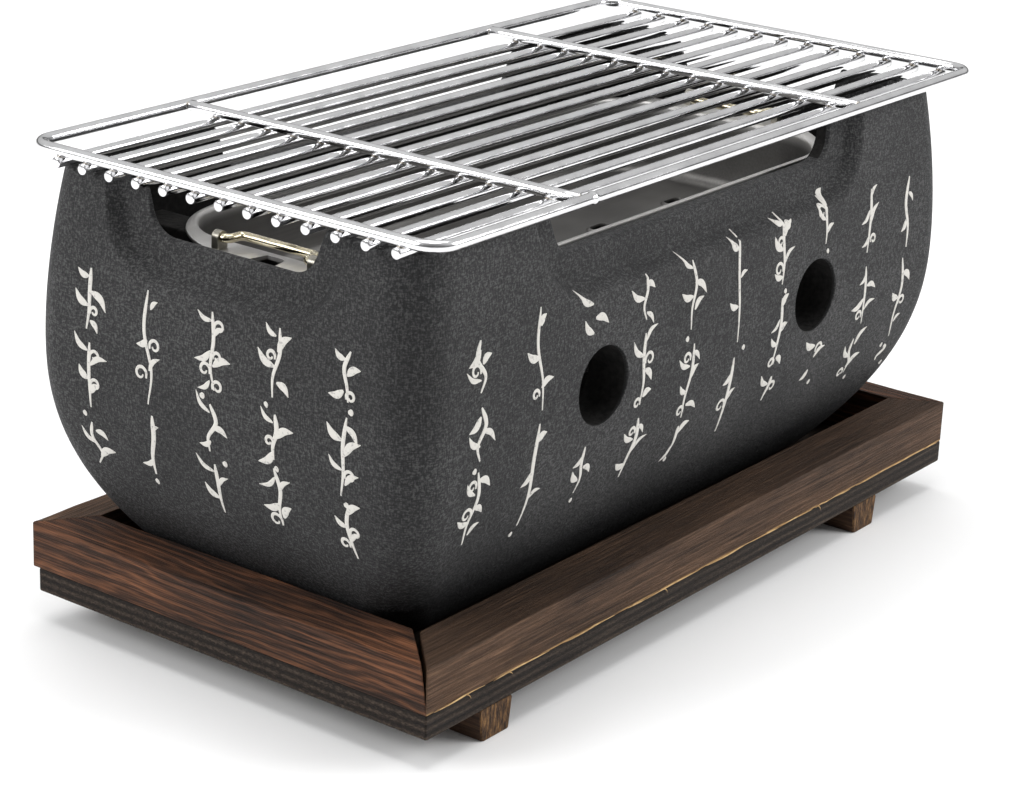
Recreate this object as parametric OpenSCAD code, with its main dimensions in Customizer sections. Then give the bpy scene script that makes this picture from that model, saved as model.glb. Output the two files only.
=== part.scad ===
// Table-top hibachi grill: a cast body in a mitred wooden tray, a lift-out charcoal pan with two
// wire bails, and a welded wire grate on top. Millimetres, +Z up, origin under the tray's centre.

/* [Overall] */
// Length of the wooden tray over its rails
overall_length = 240; // [190:1:300]
// Width of the wooden tray over its rails
overall_width = 127; // [105:1:160]
// Gap left between two pieces where one simply rests on the other
rest_gap = 0.3; // [0.1:0.05:0.6]

/* [Tray] */
// Width of each rail seen from above
rail_width = 12; // [9:0.5:15]
// Height of each rail at its outer face
rail_height = 12; // [8:0.5:18]
// How much each rail's top climbs towards the body
rail_top_rise = 1.5; // [0:0.1:3]
// Opening at the top of the one mitre that has sprung
open_mitre_gap = 2.2; // [0.2:0.1:3]
// Thickness of the base panel
panel_thickness = 6.2; // [4:0.2:10]
// How far the base panel stops short of the back rail's face
panel_inset = 2; // [0:0.5:4]
// Height of the two foot battens
batten_height = 8.5; // [5:0.5:16]
// Width of each batten where it meets the panel
batten_top_width = 12.5; // [11:0.5:18]
// Width of each batten where it stands on the table
batten_sole_width = 10.5; // [8:0.5:18]
// Distance from the tray's left end to the middle of the left batten
left_batten_in = 26.75; // [15:0.25:50]
// Distance from the tray's right end to the middle of the right batten
right_batten_in = 42.25; // [15:0.25:50]

/* [Brads] */
// Shank diameter of the brads that hold the tray together
brad_shank = 1.4; // [1:0.1:2]
// Head diameter of the brads
brad_head = 2.8; // [2:0.1:4]
// Height of a brad's head
brad_head_height = 0.6; // [0.4:0.1:1]
// How deep each head is punched below the wood's face
brad_sink = 0.5; // [0.2:0.1:1]
// Play around a brad in its hole
brad_play = 0.05; // [0.02:0.01:0.1]
// How far a batten brad goes into the base panel
batten_brad_bite = 4; // [2:0.5:5]
// How far a rail brad goes into its rail
rail_brad_bite = 8; // [4:0.5:10]

/* [Body] */
// Height of the cast body from its foot to the top of its corner towers
body_height = 105.5; // [85:0.5:130]
// Height of the belly, the widest level, above the foot
belly_height = 61.7; // [45:0.1:75]
// How far the belly stays inside the tray's end faces
belly_end_setback = 0; // [0:0.1:4]
// How far the belly stays inside the tray's side faces
belly_side_setback = 2; // [0.5:0.1:4]
// Clear space between the body and the tray's end rails
tray_clearance = 2.5; // [1:0.1:6]
// How far the body stands off the tray's middle, along the tray
body_shift_x = -1.3; // [-2:0.1:2]
// How far the body stands off the tray's middle, across the tray
body_shift_y = 2; // [-3:0.1:3]
// How far the walls draw in above the belly
top_draw = 4; // [1:0.1:8]
// Power of the curve below the belly, where a larger number keeps the wall upright for longer
lower_curve = 2.35; // [1.6:0.05:3]
// Power of the curve above the belly
upper_curve = 1.8; // [1.2:0.05:3]
// Radius of the upright corners
body_corner = 12; // [9:0.5:20]
// Thickness of the cast walls below the rim
body_wall = 4.5; // [3:0.1:7]
// Thickness of the cast floor
body_floor = 5; // [3:0.1:9]
// Distance from the belly's end to the inner face of the rim
rim_end_depth = 8.5; // [7:0.1:12]
// Distance from the belly's side to the inner face of the rim
rim_side_depth = 11.5; // [9:0.1:15]

/* [Body notches and air holes] */
// Depth of the notches between the corner towers
notch_depth = 11.8; // [9:0.1:16]
// Flat length of the notch floor in each end wall
end_notch_floor = 36.4; // [20:0.2:50]
// Flat length of the notch floor in each side wall
side_notch_floor = 108.2; // [70:0.2:130]
// Radius of the notch corners
notch_corner = 8; // [3:0.5:9]
// Slope of the notch sides above level, in degrees
notch_lean = 75; // [60:1:85]
// Width of the dished band around each notch
band_width = 12; // [4:0.5:16]
// Depth of the dished band at the notch edge
band_depth = 4.5; // [1:0.1:6]
// Diameter of the four air holes
air_hole = 19.7; // [8:0.1:26]
// Distance between the two air holes of one side
air_hole_spacing = 97.4; // [50:0.2:130]
// Height of the air holes' middle above the foot
air_hole_height = 60.2; // [40:0.1:60.5]

/* [Pan] */
// Thickness of the pressed pan
pan_sheet = 1; // [0.6:0.1:1.6]
// How far the pan's flange lies below the notch floors
pan_drop = 4.1; // [0.2:0.1:6]
// Gap between the flange and the left end wall
pan_left_gap = 7.5; // [0.5:0.1:10]
// Gap between the flange and the right end wall
pan_right_gap = 8.5; // [0.5:0.1:25]
// Gap between the flange and each side wall
pan_side_gap = 8.5; // [1:0.1:12]
// Corner radius of the flange
flange_corner = 32.5; // [28:0.5:38]
// Width of the flange at each end
end_flange = 9.5; // [8:0.5:14]
// Width of the flange along each side
side_flange = 2.2; // [2:0.1:6]
// Corner radius of the well, inside
well_corner = 20.5; // [18:0.5:29]
// Depth of the well below the flange's top
well_depth = 21; // [12:0.5:26]
// Width of the finger notch at the flange's end
finger_notch = 9; // [6:0.5:12]
// Depth of the finger notch
finger_notch_depth = 6.5; // [4:0.5:7]
// Length of each air slot in the pan's floor
slot_length = 7; // [4:0.5:12]
// Width of each air slot
slot_width = 3; // [2:0.1:5]
// Height of the lip raised around each air slot
slot_lip = 0.8; // [0.4:0.1:2]
// Distance between air slots along the pan
slot_step = 36; // [20:1:40]
// Distance between rows of air slots
slot_row_step = 26; // [14:1:30]
// Width of each lug that carries the pan
lug_width = 10; // [6:0.5:14]
// Height of each lug
lug_height = 8; // [5:0.5:12]
// Distance from the flange's end to the middle of a lug
lug_in = 15.5; // [14:0.5:28]
// Clear space between a lug and the pan's well
lug_clearance = 0.6; // [0.3:0.1:1]

/* [Bails] */
// Diameter of the bail wire
bail_wire = 2.3; // [1.8:0.1:3]
// Distance between the two legs of a bail, middle to middle
bail_width = 23.8; // [20:0.2:30]
// Distance from a bail's pivot to its bar
bail_reach = 4.6; // [4.2:0.2:9]
// Bend radius of the bail wire, at its middle
bail_bend = 1.7; // [1.6:0.1:2]
// Distance from the flange's end to the pivot
pivot_in = 3; // [2.8:0.1:5]
// Space between a bail lying flat and the flange
bail_lift = 1.6; // [0.2:0.1:2.5]
// Play of the wire in its clips
pivot_play = 0.05; // [0.02:0.01:0.1]
// Length of each clip along the pivot
clip_length = 2; // [1.5:0.25:4.5]
// Thickness of the clips
clip_wall = 0.5; // [0.4:0.1:1.4]

/* [Grate] */
// Diameter of the frame wire and the two cross bars
frame_wire = 2.9; // [2.2:0.1:4]
// Diameter of the thirteen long rods
rod_wire = 2.7; // [2:0.1:3.6]
// How far the frame wire's middle stays inside the tray's end faces
frame_end_setback = 0.5; // [0:0.1:4]
// How far the frame wire's middle stays inside the tray's side faces
frame_side_setback = 1.5; // [1.5:0.1:4]
// Corner radius of the frame wire, at its middle
frame_corner = 6; // [5:0.5:16]
// Distance from the frame wire's middle to the first rod's
rod_edge = 10.1; // [8:0.1:14]
// How far the rods' ends pass the frame wire's middle
rod_end_past = 1.85; // [0.5:0.05:4]
// How deep the welds press the wires into each other
weld_bite = 0.1; // [0.05:0.01:0.3]
// Distance from the frame wire's left end to the left cross bar
left_bar_in = 53.8; // [30:0.2:80]
// Distance from the frame wire's right end to the right cross bar
right_bar_in = 60; // [30:0.2:80]

/* [Hidden] */
ROD_COUNT = 13;
RODS = [for (i = [1 : ROD_COUNT]) str("grate_rod_", i < 10 ? "0" : "", i)];

$fn = 48;
SLIVER = 0.01; // thickness of a slice that only gives a hull its outline
OVERCUT = 1; // how far a cut runs past the face that it opens

// Levels, from the table up
panel_z = batten_height;
rail_z = panel_z + panel_thickness;
rail_top_z = rail_z + rail_height + rail_top_rise;
body_z = rail_z + rest_gap;
tower_z = body_z + body_height;
notch_z = tower_z - notch_depth;
flange_z = notch_z - pan_drop;
rod_z = tower_z + rest_gap + rod_wire / 2;
frame_z = rod_z + (rod_wire + frame_wire) / 2 - weld_bite;

// Body outline at the belly
belly_x = overall_length / 2 - belly_end_setback;
belly_y = overall_width / 2 - belly_side_setback;
seat_inset = rail_width - belly_end_setback + tray_clearance;
seat_height = rail_top_z - body_z;
rim_x = belly_x - rim_end_depth;
rim_y = belly_y - rim_side_depth;
RIM_CORNER = body_corner - body_wall;
EDGE_ROUND = 1.5; // softening of the towers' outer edges

// Pan outline
flange_x = rim_x - (pan_left_gap + pan_right_gap) / 2;
flange_y = rim_y - pan_side_gap;
pan_shift = (pan_left_gap - pan_right_gap) / 2;
well_x = flange_x - end_flange;
well_y = flange_y - side_flange;
LUG_TUCK = 10; // how far a lug reaches in past the well's side, before the well is cleared
SLOT_COLUMNS = 5;
SLOT_ROWS = 3;

// Bail pivots
pivot_x = flange_x - pivot_in;
pivot_z = flange_z + bail_wire / 2 + bail_lift;
stub_start = bail_width / 2 + bail_bend;
CLIP_END_PLAY = 0.3; // side play of a bail between its two clips
stub_end = stub_start + CLIP_END_PLAY + clip_length;

// Grate outline
frame_x = overall_length / 2 - frame_end_setback;
frame_y = overall_width / 2 - frame_side_setback;
rod_length = 2 * (frame_x + rod_end_past);
rod_step = 2 * (frame_y - rod_edge) / (ROD_COUNT - 1);

// Brad places
BATTEN_BRAD_Y = 0.36 * overall_width;
RAIL_BRAD_X = 0.21 * overall_length;
RAIL_BRAD_Y = 0.26 * overall_width;

function batten_x(side) =
    side < 0 ? left_batten_in - overall_length / 2 : overall_length / 2 - right_batten_in;

// How far the body's side lies inside the belly at a height above the foot
function side_inset(h) =
    h < belly_height
    ? seat_inset * pow((belly_height - h) / (belly_height - seat_height), lower_curve)
    : top_draw * pow((h - belly_height) / (body_height - belly_height), upper_curve);

// Points of an arc, in order
function arc(x, y, r, from, to, steps) =
    [for (i = [0 : steps]) let(a = from + (to - from) * i / steps) [x + r * cos(a), y + r * sin(a)]];

// Outline of a notch, with its floor on the X axis and grown by a margin on every side
function notch_outline(floor_length, grow) =
    let (
        r = notch_corner + grow,
        side = 90 - notch_lean,
        top = notch_depth + OVERCUT,
        foot_x = floor_length / 2 + r * cos(side),
        foot_y = notch_corner - r * sin(side),
        top_x = foot_x + (top - foot_y) / tan(notch_lean)
    )
    concat(
        [[-top_x, top]],
        arc(-floor_length / 2, notch_corner, r, 180 + side, 270, 8),
        arc(floor_length / 2, notch_corner, r, 270, 360 - side, 8),
        [[top_x, top]]
    );

// ---------- shared shapes ----------

// Flat rectangle with round corners, from its half sizes
module round_plate(half_x, half_y, corner) {
    square([2 * half_x, 2 * (half_y - corner)], center = true);
    square([2 * (half_x - corner), 2 * half_y], center = true);
    for (x = [-1, 1], y = [-1, 1])
        translate([x * (half_x - corner), y * (half_y - corner)])
            circle(r = corner);
}

// Thin slice of the body at a height above the foot
module body_slice(h, half_x, half_y, corner) {
    translate([0, 0, body_z + h])
        linear_extrude(SLIVER)
            round_plate(half_x, half_y, corner, $fn = 32);
}

// Quarter bend of round wire, turning left from +X at the origin
module wire_bend(radius, wire) {
    translate([0, radius, 0])
        rotate([0, 0, -90])
            rotate_extrude(angle = 90)
                translate([radius, 0])
                    circle(d = wire);
}

// Straight round wire along +X from the origin
module wire_run(length, wire) {
    rotate([0, 90, 0])
        cylinder(d = wire, h = length);
}

// ---------- tray ----------

// Rail along X with its outer face on Y = 0, mitred at both ends
module mitred_rail(run) {
    intersection() {
        rotate([90, 0, 90])
            linear_extrude(run, center = true)
                polygon([
                    [0, 0],
                    [rail_width, 0],
                    [rail_width, rail_height + rail_top_rise],
                    [0, rail_height]
                ]);
        linear_extrude(rail_height + rail_top_rise + OVERCUT)
            polygon([
                [-run / 2, 0],
                [run / 2, 0],
                [run / 2 - rail_width, rail_width],
                [rail_width - run / 2, rail_width]
            ]);
    }
}

// Wedge that opens the mitre at the +X end of a rail, widest at the top
module sprung_mitre(run) {
    top = rail_height + rail_top_rise;
    translate([run / 2, 0, 0])
        rotate([0, 0, 45])
            rotate([90, 0, 0])
                linear_extrude(4 * rail_width, center = true)
                    polygon([[0, 0], [0, top], [-open_mitre_gap, top]]);
}

module brad(length, play) {
    cylinder(d = brad_shank + 2 * play, h = length + play);
    cylinder(d = brad_head + 2 * play, h = brad_head_height + play);
}

// Round pocket that a brad's head leaves below it when it is punched in
module brad_pocket() {
    translate([0, 0, -brad_sink])
        cylinder(d = brad_head + 2 * brad_play, h = brad_sink);
}

module at_batten_brads(side) {
    for (y = [-BATTEN_BRAD_Y, BATTEN_BRAD_Y])
        translate([batten_x(side), y, brad_sink])
            children();
}

module at_rail_brads() {
    for (x = [-1, 1], y = [-1, 1]) {
        translate([x * RAIL_BRAD_X, y * (overall_width - rail_width) / 2, panel_z + brad_sink])
            children();
        translate([x * (overall_length - rail_width) / 2, y * RAIL_BRAD_Y, panel_z + brad_sink])
            children();
    }
}

batten_brad_length = batten_height + batten_brad_bite - brad_sink;
rail_brad_length = panel_thickness + rail_brad_bite - brad_sink;

module rail_brad_holes() {
    at_rail_brads() {
        brad(rail_brad_length, brad_play);
        brad_pocket();
    }
}

module front_rail() {
    color("#5b4130") difference() {
        translate([0, -overall_width / 2, rail_z])
            mitred_rail(overall_length);
        rail_brad_holes();
    }
}

module back_rail() {
    color("#5b4130") difference() {
        translate([0, overall_width / 2, rail_z])
            rotate([0, 0, 180])
                mitred_rail(overall_length);
        rail_brad_holes();
    }
}

module left_rail() {
    color("#7a4a2b") difference() {
        translate([-overall_length / 2, 0, rail_z])
            rotate([0, 0, -90])
                difference() {
                    mitred_rail(overall_width);
                    sprung_mitre(overall_width);
                }
        rail_brad_holes();
    }
}

module right_rail() {
    color("#7a4a2b") difference() {
        translate([overall_length / 2, 0, rail_z])
            rotate([0, 0, 90])
                mitred_rail(overall_width);
        rail_brad_holes();
    }
}

module base_panel() {
    color("#3f352e") difference() {
        translate([-overall_length / 2, -overall_width / 2, panel_z])
            cube([overall_length, overall_width - panel_inset, panel_thickness]);
        rail_brad_holes();
        for (side = [-1, 1])
            at_batten_brads(side)
                brad(batten_brad_length, brad_play);
    }
}

module foot_batten(side) {
    color("#8a5f33") difference() {
        translate([batten_x(side), -overall_width / 2, 0])
            rotate([90, 0, 180])
                linear_extrude(overall_width - panel_inset)
                    polygon([
                        [-batten_sole_width / 2, 0],
                        [batten_sole_width / 2, 0],
                        [batten_top_width / 2, batten_height],
                        [-batten_top_width / 2, batten_height]
                    ]);
        at_batten_brads(side) {
            brad(batten_brad_length, brad_play);
            brad_pocket();
        }
    }
}

module batten_brads() {
    color("#9a9a9a")
        for (side = [-1, 1])
            at_batten_brads(side)
                brad(batten_brad_length, 0);
}

module rail_brads() {
    color("#9a9a9a")
        at_rail_brads()
            brad(rail_brad_length, 0);
}

// ---------- body ----------

SLICES = [for (i = [0 : 9]) belly_height * i / 10];
UPPER_SLICES = [for (i = [0 : 4]) belly_height + (body_height - EDGE_ROUND - belly_height) * i / 4];

module body_outside() {
    hull() {
        for (h = concat(SLICES, UPPER_SLICES))
            body_slice(h, belly_x - side_inset(h), belly_y - side_inset(h), body_corner);
        body_slice(
            body_height - SLIVER,
            belly_x - side_inset(body_height) - EDGE_ROUND,
            belly_y - side_inset(body_height) - EDGE_ROUND,
            body_corner - EDGE_ROUND
        );
    }
}

// Largest half size of the hollow at a height: the rim's, or the wall's where the body draws in
function hollow_half(h, belly, rim) = min(rim, belly - side_inset(h) - body_wall);

module body_hollow() {
    hull()
        for (h = concat([body_floor, body_floor + 5], [for (i = [2 : 9]) belly_height * i / 10],
                        [body_height + OVERCUT]))
            body_slice(
                h, hollow_half(h, belly_x, rim_x), hollow_half(h, belly_y, rim_y), RIM_CORNER
            );
}

// Cut for the notches of both end walls or both side walls, seen along Y
module notch_cut(reach, floor_length) {
    translate([0, 0, notch_z])
        rotate([90, 0, 0])
            linear_extrude(2 * reach, center = true)
                polygon(notch_outline(floor_length, 0));
}

// Dished band around a notch in the wall that faces -Y
module notch_band(belly, floor_length) {
    inner = belly - side_inset(body_height - notch_depth) - band_depth;
    translate([0, 0, notch_z])
        rotate([90, 0, 0])
            hull() {
                translate([0, 0, belly + OVERCUT])
                    linear_extrude(SLIVER)
                        polygon(notch_outline(floor_length, band_width));
                translate([0, 0, inner])
                    linear_extrude(SLIVER)
                        polygon(notch_outline(floor_length, 0));
            }
}

// Lugs on the side walls that carry the pan's flange
module pan_lugs() {
    lug_top = flange_z - pan_sheet - rest_gap;
    reach = rim_y + body_wall / 2;
    difference() {
        for (x = [-1, 1], y = [-1, 1])
            translate([
                pan_shift + x * (flange_x - lug_in) - lug_width / 2,
                y < 0 ? -reach : well_y - LUG_TUCK,
                lug_top - lug_height
            ])
                cube([lug_width, reach - well_y + LUG_TUCK, lug_height]);
        translate([pan_shift, 0, lug_top - lug_height - OVERCUT])
            linear_extrude(lug_height + 2 * OVERCUT)
                round_plate(
                    well_x + pan_sheet + lug_clearance,
                    well_y + pan_sheet + lug_clearance,
                    well_corner + pan_sheet + lug_clearance
                );
    }
}

module body_casting() {
    color("#2b2c2d") {
        difference() {
            body_outside();
            body_hollow();
            notch_cut(belly_y + OVERCUT, side_notch_floor);
            rotate([0, 0, 90])
                notch_cut(belly_x + OVERCUT, end_notch_floor);
            for (turn = [0, 180]) {
                rotate([0, 0, turn])
                    notch_band(belly_y, side_notch_floor);
                rotate([0, 0, turn + 90])
                    notch_band(belly_x, end_notch_floor);
            }
            for (x = [-air_hole_spacing / 2, air_hole_spacing / 2])
                translate([x, 0, body_z + air_hole_height])
                    rotate([90, 0, 0])
                        cylinder(d = air_hole, h = 2 * (belly_y + OVERCUT), center = true);
        }
        pan_lugs();
    }
}

// ---------- charcoal pan ----------

module air_slot(grow) {
    ends = (slot_length - slot_width) / 2;
    square([2 * ends, slot_width + 2 * grow], center = true);
    for (x = [-ends, ends])
        translate([x, 0])
            circle(d = slot_width + 2 * grow, $fn = 24);
}

module at_air_slots() {
    for (i = [0 : SLOT_COLUMNS - 1], j = [0 : SLOT_ROWS - 1])
        translate([
            (i - (SLOT_COLUMNS - 1) / 2) * slot_step,
            (j - (SLOT_ROWS - 1) / 2) * slot_row_step
        ])
            children();
}

module finger_notches() {
    for (turn = [0, 180])
        rotate([0, 0, turn])
            polygon([
                [flange_x + OVERCUT, -finger_notch / 2],
                [flange_x + OVERCUT, finger_notch / 2],
                [flange_x - finger_notch_depth, finger_notch / 3],
                [flange_x - finger_notch_depth, -finger_notch / 3]
            ]);
}

module charcoal_pan() {
    floor_z = flange_z - well_depth;
    color("#b9b6b2") translate([pan_shift, 0, 0]) {
        translate([0, 0, flange_z - pan_sheet])
            linear_extrude(pan_sheet)
                difference() {
                    round_plate(flange_x, flange_y, flange_corner);
                    round_plate(well_x, well_y, well_corner);
                    finger_notches();
                }
        translate([0, 0, floor_z - pan_sheet])
            linear_extrude(well_depth)
                difference() {
                    round_plate(well_x + pan_sheet, well_y + pan_sheet, well_corner + pan_sheet);
                    round_plate(well_x, well_y, well_corner);
                }
        translate([0, 0, floor_z - pan_sheet])
            linear_extrude(pan_sheet)
                difference() {
                    round_plate(well_x + pan_sheet, well_y + pan_sheet, well_corner + pan_sheet);
                    at_air_slots()
                        air_slot(0);
                }
        translate([0, 0, floor_z - pan_sheet])
            linear_extrude(pan_sheet + slot_lip)
                difference() {
                    at_air_slots()
                        air_slot(pan_sheet);
                    at_air_slots()
                        air_slot(0);
                }
    }
}

// ---------- bails ----------

// Places a left-hand shape at the left end of the pan, or turned round at the right end
module at_pan_end(side) {
    translate([pan_shift, 0, 0])
        rotate([0, 0, side < 0 ? 0 : 180])
            translate([-pivot_x, 0, pivot_z])
                children();
}

module bail_half() {
    // stub that turns in its clip
    translate([0, stub_start, 0])
        rotate([0, 0, 90])
            wire_run(stub_end - stub_start, bail_wire);
    // bend from the stub into the leg
    translate([0, stub_start, 0])
        rotate([0, 0, -90])
            wire_bend(bail_bend, bail_wire);
    // leg
    translate([bail_bend, bail_width / 2, 0])
        wire_run(bail_reach - 2 * bail_bend, bail_wire);
    // bend from the leg into the bar
    translate([bail_reach - bail_bend, bail_width / 2, 0])
        mirror([0, 1, 0])
            wire_bend(bail_bend, bail_wire);
    // half of the bar
    translate([bail_reach, 0, 0])
        rotate([0, 0, 90])
            wire_run(bail_width / 2 - bail_bend, bail_wire);
}

module bail(side) {
    color("#cbbf98")
        at_pan_end(side) {
            bail_half();
            mirror([0, 1, 0])
                bail_half();
        }
}

module bail_clips(side) {
    outer = bail_wire / 2 + pivot_play + clip_wall;
    base = bail_wire / 2 + bail_lift;
    color("#c9c6bd")
        at_pan_end(side)
            for (y = [-1, 1])
                translate([0, y * (stub_start + CLIP_END_PLAY + clip_length / 2), 0])
                    rotate([90, 0, 0])
                        difference() {
                            linear_extrude(clip_length, center = true) {
                                intersection() {
                                    circle(r = outer);
                                    translate([-outer, 0])
                                        square(2 * outer);
                                }
                                translate([-outer, -base])
                                    square([2 * outer, base]);
                            }
                            cylinder(
                                r = bail_wire / 2 + pivot_play,
                                h = clip_length + 2 * OVERCUT,
                                center = true
                            );
                        }
}

// ---------- grate ----------

module grate_frame_wire() {
    color("#d9dadb")
        translate([0, 0, frame_z])
            for (turn = [0, 180])
                rotate([0, 0, turn]) {
                    translate([frame_corner - frame_x, -frame_y, 0])
                        wire_run(2 * (frame_x - frame_corner), frame_wire);
                    translate([frame_x - frame_corner, -frame_y, 0])
                        wire_bend(frame_corner, frame_wire);
                    translate([frame_x, frame_corner - frame_y, 0])
                        rotate([0, 0, 90])
                            wire_run(2 * (frame_y - frame_corner), frame_wire);
                    translate([frame_x, frame_y - frame_corner, 0])
                        rotate([0, 0, 90])
                            wire_bend(frame_corner, frame_wire);
                }
}

module cross_bar(x) {
    bar_length = 2 * frame_y - frame_wire + 2 * weld_bite;
    color("#d9dadb")
        translate([x, -bar_length / 2, frame_z])
            rotate([0, 0, 90])
                wire_run(bar_length, frame_wire);
}

module grate_rod(index) {
    color("#d2d3d4")
        translate([-rod_length / 2, (index - (ROD_COUNT + 1) / 2) * rod_step, rod_z])
            wire_run(rod_length, rod_wire);
}

// ---------- nodes ----------

// Places the body and what it holds where the body stands in the tray
module in_tray() {
    translate([body_shift_x, body_shift_y, 0])
        children();
}

front_rail();
back_rail();
left_rail();
right_rail();
base_panel();
foot_batten(-1);  // left_foot_batten
foot_batten(1);  // right_foot_batten
batten_brads();
rail_brads();
in_tray() body_casting();
in_tray() charcoal_pan();
in_tray() bail_clips(-1);  // left_bail_clips
in_tray() bail_clips(1);  // right_bail_clips
in_tray() bail(-1);  // left_bail
in_tray() bail(1);  // right_bail
for (i = [1 : ROD_COUNT])
    grate_rod(i);
cross_bar(left_bar_in - frame_x);  // left_cross_bar
cross_bar(frame_x - right_bar_in);  // right_cross_bar
grate_frame_wire();
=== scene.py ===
# %% [markdown]
# # A table-top hibachi grill
# A small charcoal grill: a black cast body stands loose in a charred wooden tray, a pressed pan
# hangs inside it, and a polished wire grate lies on the four corner towers. The working shapes,
# sizes and joints come packed as a frame, and this lesson gives each piece its real surface.

# %% Load the frame
import math
import random

import bmesh
import bpy
import numpy as np
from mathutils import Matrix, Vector, noise


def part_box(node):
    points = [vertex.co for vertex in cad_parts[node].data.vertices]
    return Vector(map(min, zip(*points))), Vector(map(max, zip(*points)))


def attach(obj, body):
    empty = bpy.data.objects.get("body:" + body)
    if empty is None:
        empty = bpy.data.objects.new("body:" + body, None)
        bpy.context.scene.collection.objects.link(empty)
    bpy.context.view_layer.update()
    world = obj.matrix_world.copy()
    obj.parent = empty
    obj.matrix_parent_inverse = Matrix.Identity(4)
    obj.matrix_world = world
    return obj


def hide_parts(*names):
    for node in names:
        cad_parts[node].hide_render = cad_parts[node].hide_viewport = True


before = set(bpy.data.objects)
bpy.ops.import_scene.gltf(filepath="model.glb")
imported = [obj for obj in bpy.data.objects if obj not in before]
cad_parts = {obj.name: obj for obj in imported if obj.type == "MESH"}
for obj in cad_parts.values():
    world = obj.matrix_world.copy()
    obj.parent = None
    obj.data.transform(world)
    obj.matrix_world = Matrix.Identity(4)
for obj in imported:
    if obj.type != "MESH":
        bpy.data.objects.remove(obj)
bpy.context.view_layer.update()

MM = 0.001

# %% [markdown]
# ## Writing shader maths as plain arithmetic
# Most finishes here are sums and products of a few noises. Wiring each sum by hand hides the
# idea, so a small class wraps a node's output and adds a Math node for each operator. Anything
# that isn't plain arithmetic goes through one method that makes any node by its type.

# %% Arithmetic on node sockets
class Flow:
    """One output of a material's node, usable in plain arithmetic."""

    def __init__(self, tree, socket=None):
        self.tree = tree
        self.socket = socket

    def node(self, kind, settings=None, sockets=None, output=0):
        """Makes a node, applies its settings, then sets or links its inputs."""
        made = self.tree.nodes.new(kind)
        for name, value in (settings or {}).items():
            if name == "stops":
                set_stops(made.color_ramp, value)
            else:
                setattr(made, name, value)
        for name, value in (sockets or {}).items():
            if isinstance(value, Flow):
                self.tree.links.new(value.socket, made.inputs[name])
            else:
                made.inputs[name].default_value = value
        return Flow(self.tree, made.outputs[output])

    def math(self, operation, *values):
        return self.node("ShaderNodeMath", {"operation": operation}, dict(enumerate(values)))

    def __add__(self, other):
        return self.math("ADD", self, other)

    def __sub__(self, other):
        return self.math("SUBTRACT", self, other)

    def __rsub__(self, other):
        return self.math("SUBTRACT", other, self)

    def __mul__(self, other):
        return self.math("MULTIPLY", self, other)

    def __pow__(self, other):
        return self.math("POWER", self, other)

    __radd__ = __add__
    __rmul__ = __mul__

    def wave(self):
        """A sine wave along this, from 0 to 1."""
        return self.math("SINE", self) * 0.5 + 0.5

    def size(self):
        """This without its sign."""
        return self.math("ABSOLUTE", self)

    def between(self, low, high):
        """0 below low, 1 above high, and a smooth step between them."""
        sockets = {"Value": self, "From Min": low, "From Max": high}
        return self.node("ShaderNodeMapRange", {"interpolation_type": "SMOOTHSTEP"}, sockets)

    def blend(self, base, top):
        """The colour base where this is 0 and the colour top where it is 1."""
        sockets = {0: self, 6: base, 7: top}
        return self.node("ShaderNodeMix", {"data_type": "RGBA"}, sockets, output=2)

    def ramp(self, stops):
        return self.node("ShaderNodeValToRGB", {"stops": stops}, {0: self})

    def stretched(self, x, y, z):
        """These coordinates multiplied axis by axis."""
        sockets = {0: self, 1: (x, y, z)}
        return self.node("ShaderNodeVectorMath", {"operation": "MULTIPLY"}, sockets)

    def moved(self, x, y, z):
        sockets = {0: self, 1: (x, y, z)}
        return self.node("ShaderNodeVectorMath", {"operation": "ADD"}, sockets)

    def grain(self, scale=1.0, detail=2.0, roughness=0.5, distortion=0.0):
        """Soft noise over these coordinates, about 0.5 on average."""
        sockets = {
            "Vector": self, "Scale": scale, "Detail": detail,
            "Roughness": roughness, "Distortion": distortion,
        }
        return self.node("ShaderNodeTexNoise", None, sockets)

    def part(self, axis):
        """One axis of these coordinates as a value."""
        return self.node("ShaderNodeSeparateXYZ", None, {0: self}, output="XYZ".index(axis))


print("shader arithmetic ready")

# %% [markdown]
# Three small helpers go with it: one fills a colour ramp, one starts a finish and hands back its
# coordinates in millimetres, and one links what varies to the shader's sockets. What stays the
# same all over a surface is set on the socket itself.

# %% Start and finish a material
def set_stops(ramp, stops):
    """Fills a colour ramp from a list of (position, colour)."""
    while len(ramp.elements) > 1:
        ramp.elements.remove(ramp.elements[-1])
    ramp.elements[0].position = stops[0][0]
    ramp.elements[0].color = (*stops[0][1], 1)
    for position, colour in stops[1:]:
        ramp.elements.new(position).color = (*colour, 1)


def start_finish(name, **constants):
    """A new material: its shader node, and its coordinates in millimetres as a Flow."""
    material = bpy.data.materials.new(name)
    material.use_nodes = True
    tree = material.node_tree
    shader = tree.nodes["Principled BSDF"]
    for socket, value in constants.items():
        shader.inputs[socket.replace("_", " ")].default_value = value
    place = Flow(tree).node("ShaderNodeTexCoord", None, None, output=3)
    return material, shader, place.stretched(1 / MM, 1 / MM, 1 / MM)


def finish_with(shader, height=None, relief=0.1, **flows):
    """Links flows to the shader's sockets; height, in millimetres of relief, drives its bump."""
    for socket, flow in flows.items():
        flow.tree.links.new(flow.socket, shader.inputs[socket.replace("_", " ")])
    if height is not None:
        sockets = {"Height": height, "Distance": relief * MM, "Strength": 1.0}
        bump = height.node("ShaderNodeBump", None, sockets)
        height.tree.links.new(bump.socket, shader.inputs["Normal"])


print("material helpers ready")

# %% [markdown]
# ## One way to make most meshes
# Rails, panels, wires, the pan and the body are all rows of outlines joined into a skin. One
# function takes the rows as arrays of points and makes the faces between them, so each piece
# only has to say where its outlines run.

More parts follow.
